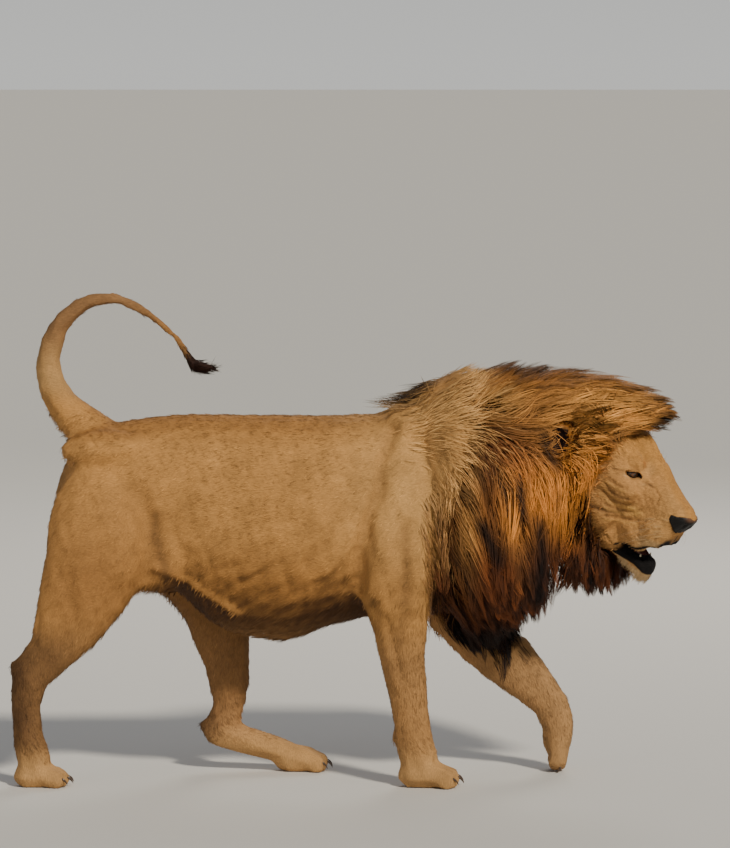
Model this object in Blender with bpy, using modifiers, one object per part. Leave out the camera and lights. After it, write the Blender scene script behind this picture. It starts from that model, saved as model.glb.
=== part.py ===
"""A male lion in mid stride, life size, as the solids of a museum model.

Metres, +Z up. The lion faces +X and its left side is +Y. Every mass of the body is a loft through
oval sections or an ellipsoid. The masses of the body, the head and the mane are each fused into one
skin, and the skins are then parted into the pieces that a person would name.
"""

import math

import bmesh
import bpy
import numpy as np
from mathutils import Matrix, Vector

# ---------------------------------------------------------------- driving dimensions
GAP = 0.0004            # clearance between neighbouring pieces
FLOOR = 0.0             # the level of the soles
FLOOR_DEPTH = 0.2       # how far the cutter below the floor reaches

HEAD_AT = Vector((0.917, -0.150, 0.915))    # midpoint between the eyes
HEAD_YAW = math.radians(-38)                # turned to the lion's right
HEAD_PITCH = math.radians(22)               # nose lowered
JAW_HINGE = Vector((-0.090, 0, -0.100))     # in the head's own frame
JAW_OPEN = math.radians(20)

EYE_RADIUS = 0.0195
EYE_AT = Vector((-0.019, 0.0535, 0.0))      # centre of the left eyeball, in the head's own frame
EYE_OUTWARD = math.radians(38)              # where each eye faces, from straight ahead
EYE_OPENING = (0.022, 0.027, 0.0125)        # half sizes: deep, wide, high
EAR_AT = Vector((-0.215, 0.186, 0.022))
EAR_OUTWARD = math.radians(62)              # where each ear opens, from straight ahead
EAR_HALF = (0.022, 0.044, 0.054)            # half sizes: deep, wide, high

BODY_VOXEL, BODY_TRIANGLES = 0.010, 2260
HEAD_VOXEL, HEAD_TRIANGLES = 0.005, 770
JAW_TRIANGLES = 150
HEAD_BACK = -0.130      # in the head's own frame, where the head ends inside the mane

COLOURS = {             # base colour and roughness
    "coat": ((0.40, 0.22, 0.08), 0.85),
    "mane": ((0.12, 0.045, 0.012), 0.85),
    "eye": ((0.30, 0.14, 0.03), 0.10),
    "leather": ((0.02, 0.013, 0.011), 0.45),
    "tooth": ((0.72, 0.64, 0.48), 0.30),
    "tongue": ((0.42, 0.14, 0.11), 0.40),
}

# ---------------------------------------------------------------- sections
# Trunk: x, height of the back, height of the belly, half width.
TRUNK = (
    (-0.805, 0.860, 0.720, 0.050),
    (-0.772, 0.945, 0.660, 0.100),
    (-0.700, 1.030, 0.600, 0.145),
    (-0.580, 1.064, 0.605, 0.168),
    (-0.460, 1.078, 0.560, 0.175),
    (-0.340, 1.080, 0.458, 0.195),
    (-0.230, 1.078, 0.418, 0.214),
    (-0.120, 1.077, 0.408, 0.224),
    (0.000, 1.077, 0.452, 0.224),
    (0.120, 1.080, 0.478, 0.214),
    (0.240, 1.100, 0.480, 0.196),
    (0.350, 1.115, 0.505, 0.176),
    (0.440, 1.080, 0.575, 0.145),
    (0.510, 1.020, 0.680, 0.095),
)

# Limbs: x, y, z, half depth fore and aft, half width. The left legs have +y.
FORE_RIGHT = (
    (0.200, -0.075, 1.060, 0.060, 0.035),
    (0.205, -0.120, 0.960, 0.092, 0.052),
    (0.222, -0.152, 0.865, 0.108, 0.062),
    (0.210, -0.172, 0.760, 0.120, 0.070),
    (0.206, -0.178, 0.660, 0.118, 0.072),
    (0.194, -0.175, 0.570, 0.105, 0.066),
    (0.202, -0.165, 0.480, 0.088, 0.058),
    (0.209, -0.155, 0.390, 0.073, 0.052),
    (0.221, -0.148, 0.310, 0.065, 0.047),
    (0.231, -0.143, 0.235, 0.060, 0.045),
    (0.240, -0.140, 0.175, 0.057, 0.047),
    (0.248, -0.139, 0.115, 0.058, 0.049),
    (0.262, -0.139, 0.070, 0.058, 0.050),
)
FORE_LEFT = (
    (0.200, 0.075, 1.060, 0.060, 0.035),
    (0.235, 0.120, 0.950, 0.092, 0.052),
    (0.290, 0.152, 0.835, 0.115, 0.062),
    (0.345, 0.165, 0.725, 0.118, 0.068),
    (0.375, 0.165, 0.610, 0.112, 0.068),
    (0.402, 0.156, 0.484, 0.116, 0.064),
    (0.482, 0.147, 0.377, 0.099, 0.058),
    (0.561, 0.139, 0.297, 0.081, 0.052),
    (0.626, 0.133, 0.232, 0.064, 0.047),
    (0.664, 0.131, 0.184, 0.055, 0.045),
    (0.674, 0.130, 0.135, 0.050, 0.046),
    (0.672, 0.130, 0.090, 0.048, 0.047),
)
HIND_RIGHT = (
    (-0.630, -0.085, 0.900, 0.120, 0.070),
    (-0.655, -0.122, 0.790, 0.160, 0.085),
    (-0.672, -0.140, 0.680, 0.158, 0.083),
    (-0.718, -0.144, 0.565, 0.134, 0.070),
    (-0.770, -0.142, 0.462, 0.104, 0.056),
    (-0.812, -0.138, 0.394, 0.076, 0.045),
    (-0.864, -0.135, 0.330, 0.064, 0.041),
    (-0.882, -0.133, 0.250, 0.050, 0.037),
    (-0.880, -0.132, 0.170, 0.048, 0.038),
    (-0.868, -0.132, 0.100, 0.051, 0.044),
    (-0.850, -0.132, 0.060, 0.048, 0.046),
)
HIND_LEFT = (
    (-0.620, 0.085, 0.900, 0.120, 0.070),
    (-0.560, 0.122, 0.800, 0.150, 0.085),
    (-0.485, 0.142, 0.700, 0.142, 0.080),
    (-0.410, 0.153, 0.600, 0.122, 0.072),
    (-0.350, 0.155, 0.500, 0.104, 0.063),
    (-0.325, 0.150, 0.400, 0.090, 0.056),
    (-0.309, 0.145, 0.325, 0.074, 0.049),
    (-0.303, 0.141, 0.254, 0.065, 0.044),
    (-0.306, 0.139, 0.195, 0.052, 0.041),
    (-0.322, 0.138, 0.140, 0.050, 0.040),
)
METATARSUS_LEFT = (
    (-0.372, 0.138, 0.125, 0.028, 0.030),
    (-0.335, 0.138, 0.113, 0.046, 0.038),
    (-0.275, 0.137, 0.096, 0.044, 0.039),
    (-0.200, 0.136, 0.076, 0.042, 0.042),
    (-0.130, 0.135, 0.052, 0.040, 0.048),
)
TAIL = (
    (-0.660, 0.000, 0.985, 0.080),
    (-0.738, 0.000, 1.058, 0.064),
    (-0.797, -0.002, 1.127, 0.051),
    (-0.821, -0.006, 1.204, 0.043),
    (-0.812, -0.010, 1.284, 0.0385),
    (-0.773, -0.014, 1.353, 0.0330),
    (-0.714, -0.018, 1.400, 0.0280),
    (-0.645, -0.021, 1.416, 0.0240),
    (-0.575, -0.024, 1.397, 0.0205),
    (-0.505, -0.027, 1.351, 0.0180),
    (-0.450, -0.030, 1.303, 0.0160),
    (-0.417, -0.032, 1.249, 0.0175),
    (-0.396, -0.033, 1.219, 0.0220),
    (-0.366, -0.034, 1.212, 0.0210),
    (-0.336, -0.035, 1.217, 0.0060),
)
# The tail's lengths: name, station where it begins, reach of its cutter.
TAIL_LENGTHS = (
    ("tail_base", 2, 0.30),
    ("tail_rise", 4, 0.30),
    ("tail_bend", 6, 0.30),
    ("tail_fall", 8, 0.30),
    ("tail_tuft", 11, 0.11),
)

# Head, in its own frame: x, top, bottom, half width.
SKULL = (
    (-0.290, 0.060, -0.080, 0.070),
    (-0.250, 0.098, -0.110, 0.100),
    (-0.190, 0.116, -0.150, 0.122),
    (-0.130, 0.114, -0.172, 0.132),
    (-0.080, 0.098, -0.180, 0.128),
    (-0.035, 0.074, -0.184, 0.106),
    (0.005, 0.047, -0.184, 0.082),
    (0.045, 0.025, -0.178, 0.070),
    (0.080, 0.008, -0.170, 0.064),
    (0.115, -0.004, -0.166, 0.062),
    (0.147, -0.016, -0.160, 0.058),
    (0.174, -0.028, -0.144, 0.050),
    (0.194, -0.042, -0.118, 0.034),
    (0.203, -0.056, -0.096, 0.016),
)
JAW = (                 # with the mouth closed
    (-0.050, -0.178, -0.212, 0.046),
    (-0.010, -0.172, -0.224, 0.064),
    (0.040, -0.170, -0.224, 0.056),
    (0.090, -0.162, -0.220, 0.047),
    (0.130, -0.152, -0.220, 0.042),
    (0.158, -0.152, -0.216, 0.034),
    (0.176, -0.162, -0.196, 0.018),
)
# Ellipsoids: centre, half sizes. They are mirrored where the centre is off the middle.
HEAD_MASSES = (
    ((-0.034, 0.044, 0.034), (0.050, 0.038, 0.022)),      # brow
    ((-0.050, 0.078, -0.050), (0.090, 0.042, 0.050)),     # cheekbone
    ((-0.090, 0.080, -0.130), (0.090, 0.056, 0.080)),     # jaw muscle
    ((-0.040, 0.046, -0.200), (0.064, 0.040, 0.054)),     # corner of the mouth
    ((0.112, 0.040, -0.122), (0.072, 0.036, 0.046)),      # whisker pad
    ((0.050, 0.046, -0.156), (0.080, 0.030, 0.044)),      # side lip
    ((0.156, 0.000, -0.074), (0.040, 0.038, 0.032)),      # end of the nose
)
CHIN = ((0.144, 0.0, -0.190), (0.038, 0.038, 0.038))
PALATE = ((0.060, 0.0, -0.196), (0.100, 0.042, 0.044))    # hollow behind the lips
MOUTH = ((0.035, 0.0, -0.205), (0.110, 0.054, 0.052))     # open space that the mane leaves
NOSE_PAD = ((0.134, -0.070), (0.160, -0.057), (0.230, -0.044), (0.230, -0.112), (0.170, -0.112),
            (0.150, -0.090))
NOSE_PAD_HALF = 0.047
TONGUE = ((0.066, 0.0, -0.163), (0.070, 0.029, 0.014))    # with the mouth closed
UPPER_CANINE, LOWER_CANINE = (0.142, 0.028, -0.136), (0.130, 0.025, -0.164)
CANINE_LENGTH, CANINE_RADIUS = 0.040, 0.0090

# Mane, in the body's frame: x, y, top, bottom, half width.
NECK_MANE = (
    (0.215, 0.000, 1.112, 1.020, 0.050),
    (0.260, 0.000, 1.150, 0.900, 0.130),
    (0.310, 0.000, 1.180, 0.560, 0.218),
    (0.370, 0.000, 1.202, 0.440, 0.262),
    (0.440, 0.000, 1.211, 0.420, 0.278),
    (0.510, -0.003, 1.214, 0.440, 0.278),
    (0.580, -0.012, 1.210, 0.480, 0.264),
    (0.632, -0.026, 1.203, 0.530, 0.240),
    (0.665, -0.036, 1.200, 0.610, 0.225),
    (0.710, -0.052, 1.198, 0.740, 0.200),
    (0.760, -0.075, 1.194, 0.850, 0.160),
    (0.800, -0.090, 1.180, 0.920, 0.120),
)
CHEST_MANE = (          # hangs between the forelegs: x, y, z, half depth, half width
    (0.430, 0.0, 0.740, 0.150, 0.200),
    (0.432, 0.0, 0.620, 0.160, 0.190),
    (0.430, 0.0, 0.520, 0.135, 0.150),
    (0.430, 0.0, 0.450, 0.095, 0.100),
    (0.440, 0.0, 0.396, 0.045, 0.050),
)
RUFF = (                # about the face, in the head's frame without its pitch
    (-0.080, 0.020, -0.240, 0.140),
    (-0.110, 0.110, -0.305, 0.180),
    (-0.150, 0.185, -0.345, 0.208),
    (-0.200, 0.240, -0.345, 0.228),
    (-0.262, 0.272, -0.300, 0.238),
    (-0.330, 0.280, -0.240, 0.230),
    (-0.390, 0.250, -0.180, 0.190),
)
FORELOCK = (            # x, y, z, half height, half width
    (0.690, -0.030, 1.098, 0.100, 0.160),
    (0.770, -0.070, 1.098, 0.098, 0.145),
    (0.850, -0.115, 1.094, 0.086, 0.116),
    (0.905, -0.150, 1.094, 0.068, 0.084),
    (0.945, -0.175, 1.092, 0.046, 0.054),
    (0.968, -0.190, 1.088, 0.020, 0.026),
)
WITHERS_TUFT = (        # dark hair behind the mane, along the spine
    (0.150, 0.010, 1.078, 0.010, 0.016),
    (0.190, 0.008, 1.088, 0.018, 0.034),
    (0.240, 0.004, 1.110, 0.032, 0.056),
    (0.300, 0.000, 1.130, 0.050, 0.090),
)


# ---------------------------------------------------------------- shape tools
def curve_through(stations, steps):
    """The stations, with steps - 1 more between each two on a Catmull-Rom curve."""
    rows = np.array(stations, float)
    ends = np.vstack([2 * rows[0] - rows[1], rows, 2 * rows[-1] - rows[-2]])
    made = []
    for before, here, there, after in zip(ends, ends[1:], ends[2:], ends[3:]):
        for step in range(steps):
            t = step / steps
            made.append(0.5 * (2 * here + (there - before) * t
                               + (2 * before - 5 * here + 4 * there - after) * t ** 2
                               + (3 * here - 3 * there + after - before) * t ** 3))
    return np.array([*made, rows[-1]])


def loft(masses, stations, place=Matrix.Identity(4), along=None, power=2.2, steps=3, sides=22):
    """Adds a closed skin through oval sections: x, y, z, half height, half width.

    The sections stand across the path, or across the direction along. A power over 2 is squarer.
    """
    rows = curve_through(stations, steps)
    centres, half_heights, half_widths = rows[:, :3], rows[:, 3], rows[:, 4]
    tangents = np.gradient(centres, axis=0)
    rings = []
    for centre, high, wide, tangent in zip(centres, half_heights, half_widths, tangents):
        ahead = Vector(along if along else tangent).normalized()
        side = (Vector((0, 1, 0)) - ahead * ahead.y).normalized()
        up = ahead.cross(side)
        ring = []
        for corner in range(sides):
            angle = 2 * math.pi * corner / sides
            across = math.copysign(abs(math.cos(angle)) ** (2 / power), math.cos(angle))
            above = math.copysign(abs(math.sin(angle)) ** (2 / power), math.sin(angle))
            point = Vector(centre) + side * (across * wide) + up * (above * high)
            ring.append(masses.verts.new(place @ point))
        rings.append(ring)
    for lower, upper in zip(rings, rings[1:]):
        for corner in range(sides):
            after = (corner + 1) % sides
            masses.faces.new((lower[corner], lower[after], upper[after], upper[corner]))
    masses.faces.new(reversed(rings[0]))
    masses.faces.new(rings[-1])


def tall_sections(rows):
    """Rows of x, (y,) top, bottom, half width, as loft() takes them."""
    made = []
    for row in rows:
        x, (top, bottom, wide) = row[0], row[-3:]
        y = row[1] if len(row) == 5 else 0.0
        made.append((x, y, (top + bottom) / 2, (top - bottom) / 2, wide))
    return made


def ellipsoid(masses, centre, half_sizes, place=Matrix.Identity(4), meridians=20):
    shape = Matrix.Translation(centre) @ Matrix.Diagonal((*half_sizes, 1))
    bmesh.ops.create_uvsphere(masses, u_segments=meridians, v_segments=meridians * 5 // 8, radius=1,
                              matrix=place @ shape)


def paired(masses, centre, half_sizes, place):
    """An ellipsoid, and its mirror image where it isn't in the middle."""
    ellipsoid(masses, centre, half_sizes, place)
    if centre[1]:
        ellipsoid(masses, (centre[0], -centre[1], centre[2]), half_sizes, place)


def paw(masses, place, length, width, height):
    """A cat's paw in its own frame: the heel at the origin, the toes to +X, the sole at z = 0."""
    ellipsoid(masses, (0.36 * length, 0, 0.46 * height), (0.40 * length, 0.43 * width, 0.52 * height), place)
    ellipsoid(masses, (0.55 * length, 0, 0.48 * height), (0.26 * length, 0.47 * width, 0.46 * height), place)
    for toe, lead in ((-1.5, 0.0), (-0.5, 0.09), (0.5, 0.09), (1.5, 0.0)):
        centre = ((0.76 + lead) * length, toe * 0.245 * width, 0.36 * height)
        ellipsoid(masses, centre, (0.170 * length, 0.150 * width, 0.40 * height), place)


def turned(at, heading=0.0, pitch=0.0, roll=0.0):
    """A place: heading turns to the left, pitch lowers the nose."""
    return (Matrix.Translation(at) @ Matrix.Rotation(heading, 4, "Z")
            @ Matrix.Rotation(pitch, 4, "Y") @ Matrix.Rotation(roll, 4, "X"))


# ---------------------------------------------------------------- Blender objects
def clear_scene():
    for old in list(bpy.data.objects):
        bpy.data.objects.remove(old)


def collection(name):
    made = bpy.data.collections.new(name)
    bpy.context.scene.collection.children.link(made)
    return made


def material(name):
    colour, roughness = COLOURS[name]
    made = bpy.data.materials.new(name)
    made.use_nodes = True
    surface = made.node_tree.nodes["Principled BSDF"]
    surface.inputs["Base Color"].default_value = (*colour, 1)
    surface.inputs["Roughness"].default_value = roughness
    surface.inputs["Metallic"].default_value = 0.0
    return made


def object_of(name, masses, home):
    bmesh.ops.recalc_face_normals(masses, faces=masses.faces)
    mesh = bpy.data.meshes.new(name)
    masses.to_mesh(mesh)
    masses.free()
    made = bpy.data.objects.new(name, mesh)
    home.objects.link(made)
    return made


def apply_modifiers(piece):
    """Makes the evaluated shape the object's own mesh."""
    graph = bpy.context.evaluated_depsgraph_get()
    mesh = bpy.data.meshes.new_from_object(piece.evaluated_get(graph))
    piece.modifiers.clear()
    piece.data = mesh


def fuse(piece, voxel, smoothing, triangles):
    """Joins a piece's overlapping masses into one smooth skin of about that many triangles."""
    remesh = piece.modifiers.new("Fuse", "REMESH")
    remesh.mode = "VOXEL"
    remesh.voxel_size = voxel
    smooth = piece.modifiers.new("Smooth", "SMOOTH")
    smooth.factor = 0.5
    smooth.iterations = smoothing
    apply_modifiers(piece)
    thin = piece.modifiers.new("Thin out", "DECIMATE")
    thin.ratio = triangles / (2 * len(piece.data.polygons))
    apply_modifiers(piece)


def crumbs(shape):
    """The faces that aren't part of a mesh's largest island."""
    unseen = set(shape.faces)
    islands = []
    while unseen:
        front = [unseen.pop()]
        island = set(front)
        while front:
            for edge in front.pop().edges:
                for face in edge.link_faces:
                    if face in unseen:
                        unseen.discard(face)
                        island.add(face)
                        front.append(face)
        islands.append(island)
    return [face for island in sorted(islands, key=len)[:-1] for face in island]


def keep_largest(piece):
    """Drops what a cut leaves loose, and welds its doubled points where the skin stays closed."""
    for weld in (2e-5, 0.0):
        shape = bmesh.new()
        shape.from_mesh(piece.data)
        if weld:
            bmesh.ops.remove_doubles(shape, verts=shape.verts, dist=weld)
            bmesh.ops.dissolve_degenerate(shape, edges=shape.edges, dist=weld)
        bmesh.ops.delete(shape, geom=crumbs(shape), context="FACES")
        closed = all(edge.is_manifold for edge in shape.edges)
        if closed or not weld:
            shape.to_mesh(piece.data)
        shape.free()
        if closed:
            break


def volume_of(piece):
    """The volume of a piece, or nothing where its skin isn't closed."""
    shape = bmesh.new()
    shape.from_mesh(piece.data)
    closed = all(edge.is_manifold for edge in shape.edges)
    volume = shape.calc_volume() if closed else 0.0
    shape.free()
    return volume


def cut(piece, cutter, operation):
    """One Boolean of a piece with a cutter, applied. MANIFOLD is kept only where EXACT fails."""
    whole = piece.data
    made = {}
    volume = {}
    for solver in ("EXACT", "MANIFOLD"):
        piece.data = whole
        boolean = piece.modifiers.new("Cut", "BOOLEAN")
        boolean.operation = operation
        boolean.object = cutter
        boolean.solver = solver
        apply_modifiers(piece)
        keep_largest(piece)
        made[solver] = piece.data
        volume[solver] = volume_of(piece)
    same = abs(volume["EXACT"] - volume["MANIFOLD"]) < 1e-3 * volume["MANIFOLD"]
    piece.data = made["EXACT" if same else "MANIFOLD"]


def copy_of(piece, name, home):
    made = bpy.data.objects.new(name, piece.data.copy())
    home.objects.link(made)
    return made


def grown(piece, distance):
    """A cutter that stands out from a piece by the distance, all round."""
    made = copy_of(piece, piece.name + "_cutter", CUTTERS)
    swell = made.modifiers.new("Swell", "DISPLACE")
    swell.strength = distance
    swell.mid_level = 0.0
    apply_modifiers(made)
    return made


def block(low, high, place=Matrix.Identity(4), grow=0.0):
    """A box cutter between two corners, in its own frame."""
    shape = bmesh.new()
    size = [above - below + 2 * grow for below, above in zip(low, high)]
    centre = [(above + below) / 2 for below, above in zip(low, high)]
    bmesh.ops.create_cube(shape, size=1, matrix=place @ Matrix.Translation(centre) @ Matrix.Diagonal((*size, 1)))
    return object_of("block", shape, CUTTERS)


def prism(outline, inner, outer, lean, grow=0.0):
    """A cutter with an outline in side view, from the inner y to the outer y. Its inner face leans
    towards the middle by lean for each metre of height above the outline's foot."""
    points = [Vector(point) for point in outline]
    centre = sum(points, Vector((0, 0))) / len(points)
    points = [point + (point - centre).normalized() * grow for point in points]
    foot = min(point.y for point in points)
    sign = math.copysign(1, outer)
    shape = bmesh.new()
    near = []
    far = []
    for point in points:
        depth = inner - grow - lean * (point.y - foot)
        near.append(shape.verts.new((point.x, sign * depth, point.y)))
        far.append(shape.verts.new((point.x, outer, point.y)))
    shape.faces.new(near)
    shape.faces.new(reversed(far))
    for here in range(len(points)):
        after = (here + 1) % len(points)
        shape.faces.new((near[here], far[here], far[after], near[after]))
    return object_of("prism", shape, CUTTERS)


def side_block(outline, half, place, grow):
    """A cutter with an outline in side view, across the middle of the head."""
    shape = bmesh.new()
    centre = sum((Vector(point) for point in outline), Vector((0, 0))) / len(outline)
    rings = []
    for y in (-half - grow, half + grow):
        ring = []
        for point in outline:
            out = Vector(point) + (Vector(point) - centre).normalized() * grow
            ring.append(shape.verts.new(place @ Vector((out.x, y, out.y))))
        rings.append(ring)
    shape.faces.new(rings[0])
    shape.faces.new(reversed(rings[1]))
    for here in range(len(outline)):
        after = (here + 1) % len(outline)
        shape.faces.new((rings[0][here], rings[1][here], rings[1][after], rings[0][after]))
    return object_of("side_block", shape, CUTTERS)


def carve(body, name, cutter, slot):
    """Parts a piece from the body: what lies in cutter(0) becomes the piece, and the body loses cutter(GAP)."""
    piece = copy_of(body, name, LION)
    cut(piece, cutter(0), "INTERSECT")
    cut(body, cutter(GAP), "DIFFERENCE")
    piece.data.materials.clear()
    piece.data.materials.append(MATERIALS[slot])
    return piece


def finish(piece, name, slot):
    """Names what is left of a skin and puts it with the lion's pieces."""
    piece.name = name
    for home in list(piece.users_collection):
        home.objects.unlink(piece)
    LION.objects.link(piece)
    piece.data.materials.clear()
    piece.data.materials.append(MATERIALS[slot])
    return piece


# ---------------------------------------------------------------- body
def add_legs(masses):
    for path in (FORE_RIGHT, FORE_LEFT, HIND_RIGHT, HIND_LEFT, METATARSUS_LEFT):
        loft(masses, path, power=2.1)
    paw(masses, turned((0.198, -0.138, -0.010)), 0.180, 0.132, 0.094)
    paw(masses, turned((-0.922, -0.132, -0.010)), 0.165, 0.116, 0.086)
    paw(masses, turned((-0.165, 0.134, -0.010)), 0.160, 0.116, 0.092)
    paw(masses, turned((0.622, 0.130, 0.136), pitch=math.radians(80)), 0.146, 0.118, 0.084)
    ellipsoid(masses, (-0.905, -0.134, 0.345), (0.036, 0.026, 0.036))      # point of the right hock
    ellipsoid(masses, (-0.368, 0.138, 0.132), (0.030, 0.026, 0.028))       # point of the left hock
    ellipsoid(masses, (0.118, -0.172, 0.565), (0.040, 0.034, 0.046))       # point of the right elbow
    ellipsoid(masses, (0.338, 0.158, 0.455), (0.056, 0.036, 0.062))        # point of the left elbow
    ellipsoid(masses, (0.196, -0.136, 0.145), (0.024, 0.024, 0.028))       # right wrist pad
    ellipsoid(masses, (0.632, 0.130, 0.160), (0.024, 0.024, 0.028))        # left wrist pad


def add_trunk(masses):
    loft(masses, tall_sections(TRUNK), along=(1, 0, 0), power=2.15, sides=30)
    for side in (-1, 1):
        ellipsoid(masses, (-0.520, side * 0.110, 0.690), (0.150, 0.070, 0.130))     # flank fold
        ellipsoid(masses, (-0.640, side * 0.084, 0.978), (0.150, 0.075, 0.064))     # hip
        ellipsoid(masses, (0.250, side * 0.085, 1.030), (0.110, 0.060, 0.085))      # shoulder blade
    ellipsoid(masses, (-0.480, 0.0, 0.585), (0.070, 0.045, 0.040))                  # sheath
    loft(masses, [(*row, row[3]) for row in TAIL], power=2.0, sides=14)


def limb_box(path, station, reach, grow):
    """What lies beyond a leg's station, as a box that reaches that far before and behind it."""
    here, there = Vector(path[station][:3]), Vector(path[station + 1][:3])
    ahead = (there - here).normalized()
    up = ahead.cross(Vector((0, 1, 0))).normalized()
    place = Matrix.Translation(here) @ Matrix((ahead, up.cross(ahead), up)).transposed().to_4x4()
    return block((0, -0.115, -reach), (0.85, 0.115, reach), place, grow)


def part_leg(body, name, path, cuts, side, shoulder):
    """Parts one leg from its foot up: paw, lower leg and the rest, each at a station of its path."""
    for part, station, reach in zip(("_paw", "_lower"), cuts, (0.24, 0.15)):
        carve(body, name + part, lambda grow: limb_box(path, station, reach, grow), "coat")
    outline, inner, lean = shoulder
    carve(body, name + "_upper", lambda grow: prism(outline, inner, side * 0.5, lean, grow), "coat")


# Outlines in side view of what belongs to a leg, how far from the middle, and the lean inwards.
SHOULDER_RIGHT = (((0.060, 0.40), (0.060, 0.78), (0.130, 1.00), (0.190, 1.10), (0.255, 1.12),
                   (0.315, 0.98), (0.335, 0.80), (0.345, 0.60), (0.320, 0.40)), 0.098, 0.05)
SHOULDER_LEFT = (((0.240, 0.26), (0.170, 0.72), (0.140, 0.96), (0.190, 1.10), (0.255, 1.12),
                  (0.330, 0.98), (0.380, 0.76), (0.480, 0.52), (0.520, 0.26)), 0.092, 0.04)
HIP_RIGHT = (((-0.95, 0.30), (-0.95, 0.80), (-0.800, 0.965), (-0.640, 0.985), (-0.520, 0.86),
              (-0.490, 0.68), (-0.545, 0.56), (-0.680, 0.30)), 0.085, 0.02)
HIP_LEFT = (((-0.95, 0.62), (-0.90, 0.86), (-0.760, 0.985), (-0.600, 0.985), (-0.450, 0.86),
             (-0.290, 0.62), (-0.150, 0.40), (-0.45, 0.28), (-0.70, 0.50)), 0.085, 0.02)
# Outline in side view of the trunk, up to the edge of the mane on the shoulder.
TRUNK_OUTLINE = ((-1.2, 0.2), (-1.2, 1.4), (0.430, 1.4), (0.420, 1.00), (0.360, 0.87), (0.332, 0.78),
                 (0.332, 0.2))


def add_mane(masses):
    """The mane's outline, with the neck within it."""
    loft(masses, tall_sections(NECK_MANE), along=(1, 0, 0), power=2.2, sides=30)
    loft(masses, CHEST_MANE, power=2.1)
    loft(masses, tall_sections(RUFF), turned(HEAD_AT, HEAD_YAW), along=(1, 0, 0), power=2.2, sides=30)
    loft(masses, FORELOCK, power=2.0)
    loft(masses, WITHERS_TUFT, power=2.0)


def build_body(hollows):
    """One skin over the body and the mane, less the head, parted into pieces."""
    masses = bmesh.new()
    add_trunk(masses)
    add_legs(masses)
    add_mane(masses)
    body = object_of("body", masses, CUTTERS)
    fuse(body, BODY_VOXEL, 5, BODY_TRIANGLES)
    cut(body, block((-2, -1, FLOOR - FLOOR_DEPTH), (2, 1, FLOOR)), "DIFFERENCE")
    for hollow in hollows:
        cut(body, hollow, "DIFFERENCE")
    part_tail(body)
    part_leg(body, "fore_right", FORE_RIGHT, (10, 6), -1, SHOULDER_RIGHT)
    part_leg(body, "fore_left", FORE_LEFT, (9, 6), 1, SHOULDER_LEFT)
    part_leg(body, "hind_right", HIND_RIGHT, (8, 4), -1, HIP_RIGHT)
    carve(body, "hind_left_foot", lambda grow: limb_box(HIND_LEFT, 8, 0.40, grow), "coat")
    carve(body, "hind_left_lower", lambda grow: limb_box(HIND_LEFT, 4, 0.15, grow), "coat")
    part_leg(body, "hind_left", HIND_LEFT, (), 1, HIP_LEFT)
    carve(body, "trunk", lambda grow: side_block(TRUNK_OUTLINE, 0.5, Matrix.Identity(4), grow), "coat")
    yawed = turned(HEAD_AT, HEAD_YAW)
    carve(body, "mane_crown", lambda grow: block((0.0, -0.5, 1.03), (1.2, 0.5, 1.4), grow=grow), "mane")
    carve(body, "mane_ruff", lambda grow: block((-0.20, -0.4, -0.6), (0.4, 0.4, 0.6), yawed, grow), "mane")
    finish(body, "mane_neck", "mane")


def part_tail(body):
    """Parts the tail into short lengths, the tuft first."""
    for name, station, reach in reversed(TAIL_LENGTHS):
        here, there = Vector(TAIL[station][:3]), Vector(TAIL[station + 1][:3])
        ahead = (there - here).normalized()
        up = ahead.cross(Vector((0, 1, 0))).normalized()
        place = Matrix.Translation(here) @ Matrix((ahead, up.cross(ahead), up)).transposed().to_4x4()
        radius = 2.2 * TAIL[station][3]
        carve(body, name, lambda grow: block((0, -0.1, -radius), (reach, 0.1, radius), place, grow), "coat")


# ---------------------------------------------------------------- head
def head_place():
    return turned(HEAD_AT, HEAD_YAW, HEAD_PITCH)


def jaw_place():
    return (head_place() @ Matrix.Translation(JAW_HINGE) @ Matrix.Rotation(JAW_OPEN, 4, "Y")
            @ Matrix.Translation(-JAW_HINGE))


def ball(name, centre, half_sizes, place, home, meridians=12):
    """An ellipsoid as an object."""
    shape = bmesh.new()
    ellipsoid(shape, centre, half_sizes, place, meridians)
    return object_of(name, shape, home)


def canine(name, root, place, direction):
    """A tooth that tapers from its root, up or down, and curves back."""
    shape = bmesh.new()
    path = []
    for along in (0.0, 0.4, 0.75, 1.0):
        radius = CANINE_RADIUS * (1.03 - along) ** 0.7
        path.append((root[0] - 0.010 * along ** 2, root[1],
                     root[2] + direction * CANINE_LENGTH * along, radius, radius))
    loft(shape, path, place, steps=1, sides=7, power=2.0)
    return object_of(name, shape, LION)


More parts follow.
